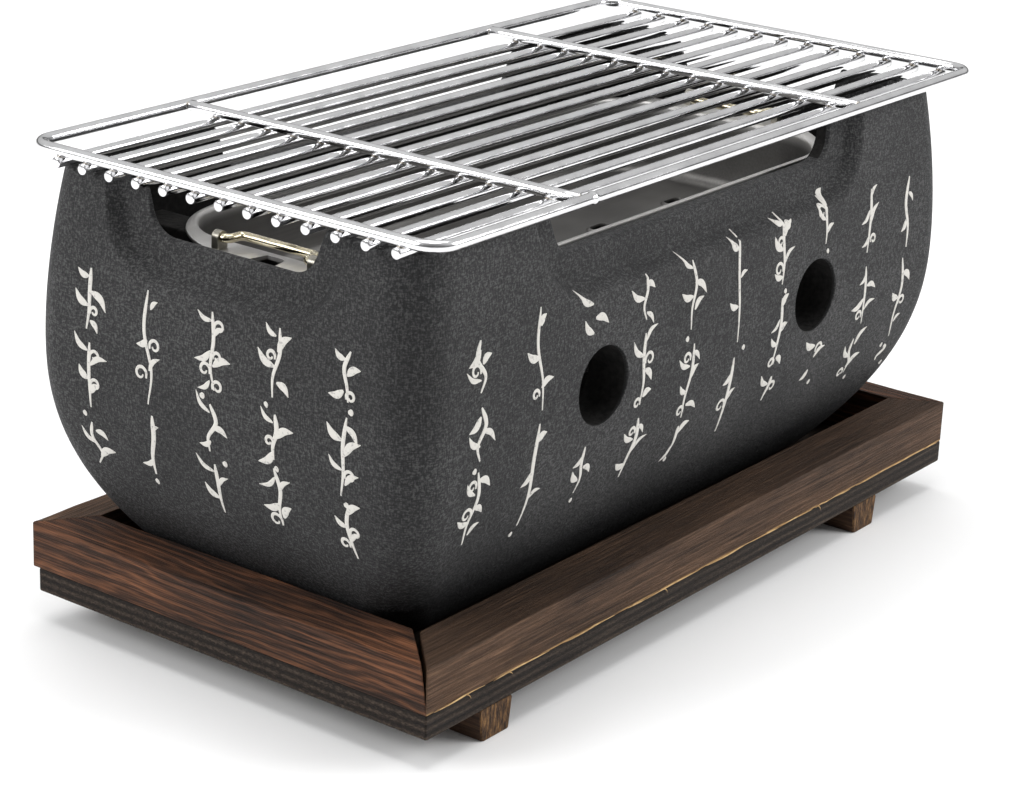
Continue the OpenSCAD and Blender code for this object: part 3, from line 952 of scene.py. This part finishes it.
def painted_wall(wall, seed):
    """All the sprigs of one wall as one mesh."""
    chance = random.Random(seed)
    kind = kind_of(wall)
    vertices, faces = [], []
    reach = COLUMN_REACH[kind]
    for i, x in enumerate(np.linspace(-reach, reach, COLUMNS[kind])):
        top = chance.uniform(81, 86)
        bottom = chance.uniform(29, 35)
        for line, widths in sprig(chance, x + chance.uniform(-1, 1), top, bottom, i % 4 != 1):
            if not clear_of_holes(kind, line):
                continue
            points, quads = brush_ribbon(wall, line, widths)
            offset = sum(len(v) for v in vertices)
            vertices.append(points)
            faces += [tuple(offset + index for index in quad) for quad in quads]
    mesh = bpy.data.meshes.new("painted_sprigs_" + wall)
    mesh.from_pydata((np.concatenate(vertices) * MM).tolist(), [], faces)
    mesh.shade_smooth()
    piece = bpy.data.objects.new("painted_sprigs_" + wall, mesh)
    bpy.context.scene.collection.objects.link(piece)
    return piece


print("columns of sprigs:", COLUMNS)

# %% [markdown]
# The paint is a warm white, matt, a little thin in places, so that a trace of the black shows
# through where the brush ran dry.

# %% Paint the four walls
def cream_paint():
    finish, shader, place = start_finish("cream_brush_paint", Specular_IOR_Level=0.35)
    dry = place.grain(1.1, 3, 0.6).between(0.24, 0.46)
    colour = dry.blend((0.30, 0.29, 0.28, 1), (0.63, 0.61, 0.57, 1))
    height = place.grain(2.2, 2)
    rough = 0.72 - dry * 0.12
    finish_with(shader, height=height, relief=0.04, Base_Color=colour, Roughness=rough)
    return finish


paint = cream_paint()
for seed, wall in enumerate(("left", "front", "right", "back"), start=11):
    painted = painted_wall(wall, seed)
    stand(painted)
    fit_out(painted, "fire_body", paint, "black_coated_casting")
    print("painted", wall, len(painted.data.polygons), "faces")

# %% [markdown]
# ## The wooden tray
# Four rails, mitred at the corners, are fixed round a plywood panel on two battens. The wood
# was torched and brushed: the soft early wood is burnt away and dark, the hard late wood stands
# proud and stays orange. Each rail is a skin over cross-sections along its run, because a
# mitre is then simply an end where the inner points stop sooner than the outer ones.

# %% Rails
RAIL_RISE = 1.5
RAIL_SOFT = 0.6


def rail_section(width, low, outer, inner, soft):
    """Cross-section of a rail as (inward, height) points, with softened edges."""
    corners = [(0, low), (width, low), (width, inner), (0, outer)]
    points = []
    for i, (x, z) in enumerate(corners):
        for other in (corners[i - 1], corners[(i + 1) % 4]):
            length = math.hypot(other[0] - x, other[1] - z)
            steps = (0.9, 0.25) if other is corners[i - 1] else (0.25, 0.9)
            for share in steps:
                f = soft * share / length
                points.append((x + (other[0] - x) * f, z + (other[1] - z) * f))
    return points


def wood_wear(point, seed):
    """Small unevenness of brushed wood, in millimetres."""
    place = Vector((point[0] * 0.05 + seed, point[1] * 0.3, point[2] * 0.3))
    return noise.noise(place) * 0.16


def rail(name, node, wall, spring=0.0, seed=0.0):
    """A mitred rail that stands for a frame node; spring opens the top of its last mitre."""
    low, high = span(node)
    long_run = wall in ("front", "back")
    run = (high[0] - low[0]) if long_run else (high[1] - low[1])
    width = (high[1] - low[1]) if long_run else (high[0] - low[0])
    section = rail_section(width, low[2], high[2] - RAIL_RISE, high[2], RAIL_SOFT)
    out = np.array(FACING[wall], float)
    along = np.array([-out[1], out[0]])
    face = {"front": -low[1], "back": high[1], "left": -low[0], "right": high[0]}[wall]
    nick = 1 - 0.35 / (run / 2)
    stations = np.concatenate([[-1, -nick], np.linspace(-0.985, 0.985, 90), [nick, 1]])
    rows = []
    for t in stations:
        row = []
        for x, z in section:
            on_face, on_top = x < 1, z > low[2] + 5
            wear = abs(wood_wear((t * run / 2, x, z), seed)) if abs(t) < nick else 0.0
            wear += 0.15 if abs(t) == 1 else 0.0
            reach = t * (run / 2 - x)
            if t > 0.9:
                reach -= spring * (z - low[2]) / (high[2] - low[2]) * (t - 0.9) / 0.1
            place = along * reach + out * (face - x - wear * on_face)
            row.append((place[0], place[1], z - wear * on_top))
        rows.append(row)
    return skin(name, rows, sharp=28)


RAILS = (
    ("front_rail_wood", "front_rail", "front", 0.0, 3.1),
    ("back_rail_wood", "back_rail", "back", 0.0, 7.7),
    ("left_rail_wood", "left_rail", "left", 2.2, 12.3),
    ("right_rail_wood", "right_rail", "right", 0.0, 17.9),
)
rails = {node: rail(name, node, wall, spring, seed) for name, node, wall, spring, seed in RAILS}
print("rails:", [len(r.data.polygons) for r in rails.values()])

# %% [markdown]
# The finish of charred wood is built from the growth rings. Along the grain everything is
# stretched about twentyfold. Bands with a slow wander give the rings, thin stretched noise
# gives the fibres, and a very broad noise says where the torch stayed longer.

# %% Charred wood
def grain_axes(place, run):
    """Coordinates with the grain along X, for wood that runs along X or Y."""
    if run == "X":
        return place
    sockets = {"X": place.part("Y"), "Y": place.part("X"), "Z": place.part("Z")}
    return place.node("ShaderNodeCombineXYZ", None, sockets)


def charred_wood(name, run, shift, tones, ringed=0.3, warmth=0.5, over=None):
    """Torched and brushed softwood; tones are its burnt, middle and bare colours."""
    finish, shader, place = start_finish(name, Specular_IOR_Level=0.22)
    wood = grain_axes(place, run).moved(*shift)
    wander = wood.stretched(0.018, 0.07, 0.07).grain(1.0, 3, 0.6)
    bands = wood.part("Y") * 0.8 + wood.part("Z") * 0.9 + wander * 11.0
    ring = (bands * 2.6).wave() ** 2.2
    fibre = wood.stretched(0.035, 2.4, 2.4).grain(1.0, 5, 0.72).between(0.30, 0.70)
    fine = wood.stretched(0.16, 7.5, 7.5).grain(1.0, 3, 0.6).between(0.28, 0.72)
    torch = wood.stretched(0.02, 0.08, 0.08).grain(1.0, 4, 0.6)
    lines = ring * ringed + fibre * 0.5 + fine * 0.22
    bare = lines + (torch - 0.5) * 0.9 + (warmth - 0.5)
    dark, middle, bright = tones
    colour = bare.ramp([
        (0.12, dark), (0.45, middle), (0.8, bright), (1.0, tuple(c * 1.6 for c in bright)),
    ])
    if over is not None:
        colour = over(place, colour)
    rough = 0.72 - fibre * 0.16
    finish_with(shader, height=lines, relief=0.4, Base_Color=colour, Roughness=rough)
    return finish


def front_rail_wear(place, colour):
    """A darker top, and pale torn fibres along the lower edge."""
    low, high = span("front_rail")
    edge = high[2] - RAIL_RISE
    # The whole top face is darkened a little.
    top = place.part("Z").between(edge - 0.45, edge - 0.05)
    darker_top = (top * 0.46).blend(colour, (0.020, 0.012, 0.008, 1))
    near = 1 - (place.part("Z") - low[2]).size().between(0.2, 0.75)
    ragged = place.stretched(0.1, 1, 1.6).grain(1.0, 4, 0.7).between(0.40, 0.52)
    return (near * ragged).blend(darker_top, (0.55, 0.34, 0.15, 1))


BURNT_RED = ((0.006, 0.003, 0.002), (0.052, 0.022, 0.011), (0.155, 0.062, 0.028))
BURNT_BROWN = ((0.012, 0.006, 0.003), (0.066, 0.035, 0.019), (0.142, 0.078, 0.044))
rail_finishes = {
    "front_rail": charred_wood("charred_front_rail", "X", (31, 4, 9), BURNT_BROWN, 0.1, 0.62,
                               over=front_rail_wear),
    "back_rail": charred_wood("charred_back_rail", "X", (-80, 21, 3), BURNT_BROWN, 0.2, 0.55),
    "left_rail": charred_wood("charred_left_rail", "Y", (12, 40, 17), BURNT_RED, 0.34, 0.5),
    "right_rail": charred_wood("charred_right_rail", "Y", (55, -9, 33), BURNT_RED, 0.34, 0.5),
}
for node, piece in rails.items():
    fit_out(piece, "tray", rail_finishes[node], "charred_rail_wood", node)
print("wood finishes:", len(rail_finishes))

# %% [markdown]
# The panel is plywood and the battens are softwood offcuts. Both are skins over softened
# rectangles. The panel's edge shows its plies as dark and paler lines, and the battens' sawn
# ends are a warm yellow, where the torch hardly touched the end grain.

# %% Base panel and battens
def softened_box(name, low, high, soft, flare=0.0, cuts=24, seed=1.0):
    """A board between two corners; flare widens its top, seen along Y."""
    low, high = np.array(low, float), np.array(high, float)
    section = []
    for x, z, a in ((high[0], high[2], 0), (low[0], high[2], 90),
                    (low[0], low[2], 180), (high[0], low[2], 270)):
        inset_x = flare if z == low[2] else 0
        cx = x - math.copysign(soft + inset_x, x - (low[0] + high[0]) / 2)
        cz = z - math.copysign(soft, z - (low[2] + high[2]) / 2)
        for step in (0, 30, 60, 90):
            t = math.radians(a + step)
            section.append((cx + soft * math.cos(t), cz + soft * math.sin(t)))
    middle = ((low[0] + high[0]) / 2, (low[2] + high[2]) / 2)
    rows = []
    for y in np.concatenate([[low[1]], np.linspace(low[1] + soft, high[1] - soft, cuts), [high[1]]]):
        shrink = soft if y in (low[1], high[1]) else 0
        row = []
        for x, z in section:
            wear = abs(wood_wear((y, x, z), seed)) * 0.5
            pull = shrink * 0.6 + wear
            row.append((x - math.copysign(pull, x - middle[0]), y,
                        z - math.copysign(min(pull, 0.1) if shrink else wear * 0.3, z - middle[1])))
        rows.append(row)
    return skin(name, rows, sharp=28)


def board_for(name, node, soft, flare=0.0, seed=1.0):
    low, high = span(node)
    return softened_box(name, low, high, soft, flare, seed=seed)


panel = board_for("base_panel_board", "base_panel", 0.4)
battens = [board_for(side + "_batten_wood", side + "_foot_batten", 0.5, flare=1.0, seed=5.0)
           for side in ("left", "right")]
print("boards:", panel.name, [piece.name for piece in battens])

# %% [markdown]
# Both finishes mix a long streak with a finer one. The panel adds the even lines of its plies,
# and the battens change to end grain over the last half millimetre.

# %% Plywood and batten wood
PLY = 2.1


def plywood():
    finish, shader, place = start_finish("dark_plywood", Specular_IOR_Level=0.2)
    low = span("base_panel")[0][2]
    lines = ((place.part("Z") - low) * (math.tau / PLY)).wave()
    streak = place.stretched(0.05, 0.6, 1.4).grain(1.0, 4, 0.65)
    pores = place.stretched(1.1, 1.1, 3).grain(1.0, 4, 0.7)
    tone = lines * 0.14 + streak * 0.42 + pores * 0.52
    colour = tone.ramp([
        (0.38, (0.003, 0.002, 0.002)), (0.55, (0.016, 0.011, 0.008)),
        (0.70, (0.070, 0.050, 0.036)),
    ])
    finish_with(shader, height=tone, relief=0.25, Base_Color=colour,
                Roughness=0.75 - tone * 0.1)
    return finish


def batten_wood():
    finish, shader, place = start_finish("batten_softwood", Specular_IOR_Level=0.25)
    long_grain = place.stretched(1.4, 0.045, 1.4).grain(1.0, 5, 0.65)
    ends = place.stretched(1.5, 0.2, 0.32).grain(1.0, 5, 0.7)
    low, high = span("left_foot_batten")
    middle, half = (low[1] + high[1]) / 2, (high[1] - low[1]) / 2
    end_grain = (place.part("Y") - middle).size().between(half - 0.55, half - 0.25)
    side = long_grain.ramp([(0.35, (0.014, 0.007, 0.005)), (0.6, (0.060, 0.030, 0.016)),
                            (0.8, (0.15, 0.08, 0.04))])
    cut = ends.ramp([(0.38, (0.018, 0.009, 0.005)), (0.52, (0.085, 0.042, 0.017)),
                     (0.68, (0.25, 0.135, 0.052))])
    finish_with(shader, height=long_grain, relief=0.3, Base_Color=end_grain.blend(side, cut),
                Roughness=0.76 - long_grain * 0.12)
    return finish


fit_out(panel, "tray", plywood(), "base_plywood", "base_panel")
batten_finish = batten_wood()
for side, batten in zip(("left", "right"), battens):
    fit_out(batten, "tray", batten_finish, "batten_wood", side + "_foot_batten")
print("board finishes:", panel.data.materials[0].name, batten_finish.name)

# %% [markdown]
# ## The charcoal pan
# The pan is pressed from one thin sheet. One function gives the rows of a face of that sheet,
# from the flange over the bend, down the wall and on to the floor. Used once for the underside
# and once for the top, it keeps the sheet's thickness even through every bend.

# %% Pan
FLANGE_CORNER = 32.5
END_FLANGE = 9.5
SIDE_FLANGE = 2.2
WELL_CORNER = 20.5
pan_low, pan_high = span("charcoal_pan")
PAN_X, PAN_Y = (pan_low[:2] + pan_high[:2]) / 2
FLANGE = (*(pan_high[:2] - pan_low[:2]) / 2, FLANGE_CORNER)
WELL = (FLANGE[0] - END_FLANGE, FLANGE[1] - SIDE_FLANGE, WELL_CORNER)
FLANGE_Z = pan_high[2]
PAN_FLOOR_Z = pan_low[2] + 1.0
SHEET = 0.95


def round_outline(half_x, half_y, corner, z, turns=20):
    """Points of a rounded rectangle around the pan's middle."""
    points = []
    ends = [(half_x - corner, -(half_y - corner), -90), (half_x - corner, half_y - corner, 0),
            (corner - half_x, half_y - corner, 90), (corner - half_x, corner - half_y, 180)]
    for i, (x, y, start) in enumerate(ends):
        for a in np.radians(np.linspace(start, start + 90, turns)):
            turned_x, turned_y = corner * math.cos(a), corner * math.sin(a)
            points.append((PAN_X + x + turned_x, PAN_Y + y + turned_y, z))
        nx, ny, turn_to = ends[(i + 1) % 4]
        from_point = points[-1]
        b = math.radians(turn_to)
        to_point = (PAN_X + nx + corner * math.cos(b), PAN_Y + ny + corner * math.sin(b), z)
        for share in np.linspace(0, 1, 14)[1:-1]:
            points.append(tuple(p + (q - p) * share for p, q in zip(from_point, to_point)))
    return points


def pan_row(outline, grow, z):
    half_x, half_y, corner = outline
    return round_outline(half_x + grow, half_y + grow, corner + grow, z)


def pan_face(sink):
    """Rows of one face of the sheet from the flange to the floor, sink below the upper face."""
    bend, fillet, draft = 1.2, 3.5, 0.8
    rows = [pan_row(FLANGE, -0.3, FLANGE_Z - sink)]
    for a in np.radians([90, 65, 45, 25, 0]):
        r = bend - sink
        rows.append(pan_row(WELL, bend - r * math.cos(a), FLANGE_Z - bend + r * math.sin(a)))
    wall_top, wall_foot = FLANGE_Z - bend, PAN_FLOOR_Z + fillet
    for share in (0.3, 0.6, 1.0):
        z = wall_top + (wall_foot - wall_top) * share
        rows.append(pan_row(WELL, sink - draft * share, z))
    for a in np.radians([22, 45, 68, 90]):
        r = fillet + sink
        rows.append(pan_row(WELL, r * math.cos(a) - draft - fillet, wall_foot - r * math.sin(a)))
    return rows


def pan_skin():
    """The pan as one skin: out along the underside, round the flange's edge, in over the top."""
    under = FLANGE_Z - SHEET
    edge = ((-0.08, under + 0.08), (0, under + 0.3), (0, FLANGE_Z - 0.3), (-0.08, FLANGE_Z - 0.08))
    rows = pan_face(SHEET)[::-1] + [pan_row(FLANGE, grow, z) for grow, z in edge] + pan_face(0.0)
    return skin("pressed_pan", rows, sharp=40)


pan_piece = pan_skin()
print("pan faces before cutting:", len(pan_piece.data.polygons))

# %% [markdown]
# Fifteen slots let air up through the floor. Each end of the flange has a notch for a fingertip.
# The punch that makes a slot also raises a small collar round it.

# %% Slots, finger notches and lips
SLOT_LENGTH = 7
SLOT_WIDTH = 3
SLOT_PITCH = (36, 26)
SLOTS = [(PAN_X + i * SLOT_PITCH[0], PAN_Y + j * SLOT_PITCH[1])
         for i in (-2, -1, 0, 1, 2) for j in (-1, 0, 1)]


def slot_outline(x, y, grow=0.0, steps=12):
    """Outline of a slot with round ends, as x and y."""
    r = SLOT_WIDTH / 2 + grow
    half = (SLOT_LENGTH - SLOT_WIDTH) / 2
    right = [(x + half + r * math.cos(a), y + r * math.sin(a))
             for a in np.linspace(-math.pi / 2, math.pi / 2, steps)]
    left = [(x - half + r * math.cos(a), y + r * math.sin(a))
            for a in np.linspace(math.pi / 2, math.pi * 1.5, steps)]
    return right + left


def prism(name, outline, low, high):
    return skin(name, [[(x, y, low) for x, y in outline], [(x, y, high) for x, y in outline]])


def finger_notch_outline(side):
    """A notch that narrows inwards, with one corner rounded."""
    end = FLANGE[0]
    plan = [(end + 2, -4.6), (end + 2, 4.6), (end - 4.6, 3.4)]
    plan += [(end - 4.9 - 1.6 * math.sin(a), 1.6 + 1.6 * math.cos(a))
             for a in np.radians([10, 40, 70, 90])]
    plan += [(end - 6.5, -2.9)]
    return [(PAN_X + side * x, PAN_Y + side * y) for x, y in plan]


def lip(x, y):
    """The collar that the punch raises round a slot."""
    rows = []
    for grow, z in ((1.15, -0.05), (0.85, 0.35), (0.45, 0.62), (0.12, 0.6), (0.0, 0.3), (0.0, -0.6)):
        outline = slot_outline(x, y, grow)
        rows.append([(px, py, PAN_FLOOR_Z + z) for px, py in outline])
    return skin("lip", rows, closed=True, sharp=60)


slot_cutters = [prism("slot", slot_outline(x, y), PAN_FLOOR_Z - 3, PAN_FLOOR_Z + 3)
                for x, y in SLOTS]
carve(pan_piece, join("slots", slot_cutters), sharp=40)
notch_cutters = [prism("finger", finger_notch_outline(s), FLANGE_Z - 2, FLANGE_Z + 2)
                 for s in (-1, 1)]
carve(pan_piece, join("fingers", notch_cutters), sharp=40)
pan_piece = join("charcoal_pan_sheet", [pan_piece, *[lip(x, y) for x, y in SLOTS]], sharp=40)
print("pan with notches and lips:", len(pan_piece.data.polygons), "faces")

# %% [markdown]
# The pan's colour holds painted light and shade: pale on its open flange, dark down in the well.
# Faint streaks from rolling and a soft bloom of heat on the floor run over both.

# %% Pan, bail and clip metal
def pan_metal():
    finish, shader, place = start_finish("satin_pan_sheet", Metallic=0.85)
    rolled = place.stretched(0.02, 1.6, 1.6).grain(1.0, 3, 0.6)
    bloom = place.grain(0.035, 3, 0.55)
    # Painted light and shade: a lit, pale copy of the tone on the flange and a shaded, dark copy
    # inside the well.
    depth = (place.part("Z") - FLANGE_Z).between(-4.0, -0.3)
    tone = rolled * 0.35 + bloom * 0.65
    inside = tone.ramp([(0.3, (0.095, 0.092, 0.088)), (0.7, (0.19, 0.185, 0.178))])
    flange = tone.ramp([(0.3, (0.48, 0.47, 0.46)), (0.7, (0.64, 0.63, 0.61))])
    rough = 0.36 + rolled * 0.14
    finish_with(shader, height=rolled, relief=0.02, Base_Color=depth.blend(inside, flange),
                Roughness=rough)
    return finish


def bright_wire(name, low, high, rough, scale=1.0):
    """Drawn and polished wire: faint streaks and clouded polish."""
    finish, shader, place = start_finish(name, Metallic=1.0)
    cloud = place.grain(0.12 * scale, 3, 0.5)
    drawn = place.stretched(0.4, 0.4, 2.5).grain(2.0, 2, 0.5)
    tone = cloud * 0.7 + drawn * 0.3
    colour = tone.ramp([(0.3, low), (0.7, high)])
    finish_with(shader, height=drawn, relief=0.008, Base_Color=colour,
                Roughness=cloud.between(0.35, 0.65) * 0.06 + rough)
    return finish


fit_out(pan_piece, "pan", pan_metal(), "pan_sheet_metal", "charcoal_pan")
bail_metal = bright_wire("brass_toned_wire", (0.55, 0.49, 0.34), (0.76, 0.70, 0.53), 0.16)
clip_metal = bright_wire("clip_plating", (0.26, 0.25, 0.22), (0.40, 0.38, 0.33), 0.3)
for node in ("left_bail_clips", "right_bail_clips"):
    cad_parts[node].data.materials.clear()
    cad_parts[node].data.materials.append(clip_metal)
print("pan finish:", pan_piece.data.materials[0].name)

# %% [markdown]
# ## Bails and grate: round wire
# Every wire is a circle carried along a course. The circle is turned so that it stays square to
# the course and never twists. The radius may change along the way, which gives softened ends
# and the bead of a butt weld.

# %% A wire along a course
def wire(name, course, radius, closed=False, around=28, swell=None):
    """Round wire along points in millimetres; swell gives a factor on the radius at each."""
    course = np.asarray(course, float)
    count = len(course)
    if closed:
        ahead = np.roll(course, -1, 0) - np.roll(course, 1, 0)
    else:
        ahead = np.gradient(course, axis=0)
    ahead /= np.linalg.norm(ahead, axis=1, keepdims=True)
    side = np.cross(ahead, (0.0, 0.0, 1.0))
    side /= np.linalg.norm(side, axis=1, keepdims=True)
    up_side = np.cross(side, ahead)
    a = np.linspace(0, 2 * math.pi, around, endpoint=False)
    factors = np.ones(count) if swell is None else np.asarray(swell)
    rows = []
    for i in range(count):
        ring = np.outer(np.cos(a), side[i]) + np.outer(np.sin(a), up_side[i])
        rows.append(course[i] + ring * radius * factors[i])
    return skin(name, rows, closed=closed, sharp=50)


def straight(start, end, count=2, soft=0.25):
    """A straight course whose ends are softened, with the swell that goes with it."""
    start, end = np.array(start, float), np.array(end, float)
    length = np.linalg.norm(end - start)
    cut = np.array([0, 0.3 * soft, soft]) / length
    t = np.concatenate([cut, np.linspace(soft / length, 1 - soft / length, count + 2)[1:-1],
                        1 - cut[::-1]])
    swell = np.ones(len(t))
    swell[[0, -1]] = 0.82
    swell[[1, -2]] = 0.93
    return start + (end - start) * t[:, None], swell


def arc_course(x, y, r, start, end, z, steps=9):
    return [(x + r * math.cos(a), y + r * math.sin(a), z)
            for a in np.radians(np.linspace(start, end, steps))]


BAIL_LEG = 11.9
BAIL_BEND = 1.7


def bail_course(node, side):
    """Stub, leg, bar, leg and stub of a bail, from its frame box."""
    low, high = span(node)
    r = (high[2] - low[2]) / 2
    z = (high[2] + low[2]) / 2
    pivot = low[0] + r if side < 0 else high[0] - r
    bar = high[0] - r if side < 0 else low[0] + r
    way = 1 if side < 0 else -1
    bend, leg_y = BAIL_BEND, BAIL_LEG
    middle_y = (low[1] + high[1]) / 2
    reach_y = high[1] - middle_y
    half = [(pivot, reach_y, z), (pivot, reach_y - 0.25, z)]
    half += [(pivot + way * bend * (1 - math.cos(a)), leg_y + bend - bend * math.sin(a), z)
             for a in np.radians(np.linspace(0, 90, 9))]
    half += [(bar - way * bend * (1 - math.sin(a)), leg_y - bend * (1 - math.cos(a)), z)
             for a in np.radians(np.linspace(0, 90, 9))]
    half += [(bar, y, z) for y in np.linspace(leg_y - bend, 0, 12)[1:-1]]
    other = [(x, -y, z) for x, y, z in reversed(half)]
    return np.array(half + other) + (0, middle_y, 0), r


for side, node in ((-1, "left_bail"), (1, "right_bail")):
    course, bail_radius = bail_course(node, side)
    swell = np.ones(len(course))
    swell[[0, -1]] = 0.85
    bail = wire(node + "_wire", course, bail_radius, swell=swell)
    fit_out(bail, "pan", bail_metal, "bail_wire", node)
    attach(bail, node)
print("bails: wire radius, mm:", round(bail_radius, 2))

# %% [markdown]
# The grate is thirteen long rods under a closed frame wire and two cross bars, all spot-welded
# where they cross. The rods' sawn ends stand out a little past the frame wire at both ends. The
# frame wire's own ends meet in a butt weld on the front side, a small rough bead.

# %% Grate rods, cross bars and frame wire
ROD_NODES = [f"grate_rod_{i:02d}" for i in range(1, 14)]
BAR_NODES = ("left_cross_bar", "right_cross_bar")
FRAME_BEND = 6.0
BUTT_WELD_SWELL = 0.16
BUTT_WELD_REACH = 0.62
grate_metal = bright_wire("polished_grate_wire", (0.70, 0.70, 0.71), (0.86, 0.86, 0.87), 0.10)


def straight_wire(name, node, axis):
    low, high = span(node)
    middle = (low + high) / 2
    start, end = middle.copy(), middle.copy()
    start[axis], end[axis] = low[axis], high[axis]
    course, swell = straight(start, end, count=30)
    radius = (high[2] - low[2]) / 2
    return wire(name, course, radius, swell=swell)


for axis, nodes in enumerate((ROD_NODES, BAR_NODES)):
    for node in nodes:
        piece = straight_wire(node + "_wire", node, axis)
        fit_out(piece, "grate", grate_metal, "polished_grate_wire", node)


def frame_course():
    """The frame wire's closed course, and the swell of its butt weld."""
    low, high = span("grate_frame_wire")
    r = (high[2] - low[2]) / 2
    z = (high[2] + low[2]) / 2
    bend = FRAME_BEND
    x, y = high[0] - r - bend, high[1] - r - bend
    weld_x = span("left_cross_bar")[1][0] + 1.6
    near_weld = weld_x + np.linspace(-2.4, 2.4, 17)
    front = np.concatenate([np.linspace(-x, near_weld[0], 10)[1:-1], near_weld,
                            np.linspace(near_weld[-1], x, 40)[1:-1]])
    course = [(px, -y - bend, z) for px in front]
    course += arc_course(x, -y, bend, -90, 0, z, 15)
    course += [(x + bend, py, z) for py in np.linspace(-y, y, 30)[1:-1]]
    course += arc_course(x, y, bend, 0, 90, z, 15)
    course += [(px, y + bend, z) for px in np.linspace(x, -x, 60)[1:-1]]
    course += arc_course(-x, y, bend, 90, 180, z, 15)
    course += [(-x - bend, py, z) for py in np.linspace(y, -y, 30)[1:-1]]
    course += arc_course(-x, -y, bend, 180, 270, z, 15)
    course = np.array(course)
    on_front = course[:, 1] < -y - bend + 0.01
    bulge = np.exp(-((course[:, 0] - weld_x) / BUTT_WELD_REACH) ** 2) * on_front
    return course, 1 + BUTT_WELD_SWELL * bulge, r


course, swell, frame_radius = frame_course()
frame_piece = wire("grate_frame_ring", course, frame_radius, closed=True, swell=swell)
fit_out(frame_piece, "grate", grate_metal, "polished_grate_wire", "grate_frame_wire")
print("grate wires:", len(ROD_NODES) + 3)

# %% [markdown]
# Each spot weld squeezes the two wires together and leaves a small collar of melted metal that
# the heat has browned. One uneven bead, made from a ball whose points are pushed by noise, is
# set at every crossing.

# %% Spot welds
def bead(x, y, z, radii, seed, around=14, rings=9):
    """A small uneven ball."""
    rows = []
    for polar in np.linspace(0.12, math.pi - 0.12, rings):
        row = []
        for a in np.linspace(0, 2 * math.pi, around, endpoint=False):
            way = np.array([math.sin(polar) * math.cos(a), math.sin(polar) * math.sin(a),
                            math.cos(polar)])
            push = 1 + 0.22 * noise.noise(Vector(way * 1.7) + Vector((seed, 0, 0)))
            row.append(np.array((x, y, z)) + way * radii * push)
        rows.append(row)
    return skin("bead", rows, sharp=60)


def weld_beads():
    """Beads where rods cross the bars and the frame wire, and where the bars meet the frame."""
    frame_high = span("grate_frame_wire")[1]
    reach = frame_high[0] - frame_radius
    bars = [sum(p[0] for p in span(n)) / 2 for n in BAR_NODES]
    contact = span("grate_rod_01")[1][2]
    beads = []
    seed = 0.0
    for node in ROD_NODES:
        low, high = span(node)
        y = (low[1] + high[1]) / 2
        for x in (-reach, *bars, reach):
            seed += 3.7
            beads.append(bead(x, y, contact - 0.12, np.array((0.95, 0.95, 0.42)), seed))
    for x in bars:
        for side in (-1, 1):
            seed += 3.7
            y = side * (frame_high[1] - 2 * frame_radius)
            z = frame_high[2] - frame_radius
            beads.append(bead(x, y, z, np.array((1.5, 0.7, 1.25)), seed))
    return join("grate_weld_beads", beads, sharp=60)


def weld_metal():
    finish, shader, place = start_finish("browned_weld", Metallic=1.0)
    heat = place.grain(0.9, 3, 0.6)
    colour = heat.ramp([(0.3, (0.16, 0.13, 0.10)), (0.55, (0.46, 0.42, 0.36)),
                        (0.75, (0.74, 0.73, 0.71))])
    finish_with(shader, height=heat, relief=0.06, Base_Color=colour, Roughness=0.22 + heat * 0.16)
    return finish


welds = weld_beads()
fit_out(welds, "grate", weld_metal(), "polished_grate_wire")
print("weld beads:", len(welds.data.polygons), "faces")

# %% [markdown]
# ## Torn fibres
# The front rail's lower edge tore when it was planed: pale fibres cling to it in a ragged line
# and a few short splinters stick out. Each is a very thin wire with a changing thickness.

# %% Torn fibres of the front rail
def torn_fibres():
    low, high = span("front_rail")
    edge_y, edge_z = low[1] - 0.02, low[2] + 0.12
    chance = random.Random(5)
    pieces = []
    x = low[0] + 3
    while x < high[0] - 8:
        length = min(chance.uniform(7, 26), high[0] - 2 - x)
        t = np.linspace(0, 1, 24)
        line = np.stack([x + length * t, edge_y + 0.1 * np.sin(t * 7 + x),
                         edge_z + 0.12 * np.sin(t * 5 + 2 * x)], 1)
        pieces.append(wire("fibre", line, 0.16, around=7, swell=0.25 + np.sin(math.pi * t)))
        x += length * chance.uniform(0.8, 1.3)
    for x in (low[0] + 15, low[0] + 31, low[0] + 96, low[0] + 171):
        t = np.linspace(0, 1, 10)
        reach, drop = chance.uniform(0.9, 1.5), chance.uniform(0.8, 1.7)
        line = np.stack([x + 1.6 * t, edge_y - reach * t * (1 - t), edge_z - drop * t ** 1.5], 1)
        pieces.append(wire("splinter", line, 0.15, around=7, swell=1.15 - t))
    return join("torn_fibres", pieces, sharp=60)


def pale_fibre():
    finish, shader, place = start_finish("pale_torn_wood", Specular_IOR_Level=0.3)
    tone = place.stretched(0.4, 2, 2).grain(1.0, 3, 0.6)
    colour = tone.ramp([(0.3, (0.26, 0.14, 0.055)), (0.6, (0.62, 0.42, 0.20))])
    finish_with(shader, height=tone, relief=0.03, Base_Color=colour, Roughness=0.7 - tone * 0.1)
    return finish


fibres = torn_fibres()
fit_out(fibres, "tray", pale_fibre(), "charred_rail_wood")
print("torn fibres:", len(fibres.data.polygons), "faces")

# %% [markdown]
# The brads under the tray keep the shape that the frame gives them: a shank and a flat head
# punched just below the wood. They only need the look of plain steel wire.

# %% Brads
brad_metal = bright_wire("brad_steel_wire", (0.30, 0.30, 0.30), (0.48, 0.47, 0.46), 0.34)
for node in ("batten_brads", "rail_brads"):
    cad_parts[node].data.materials.clear()
    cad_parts[node].data.materials.append(brad_metal)
print("brads:", brad_metal.name)
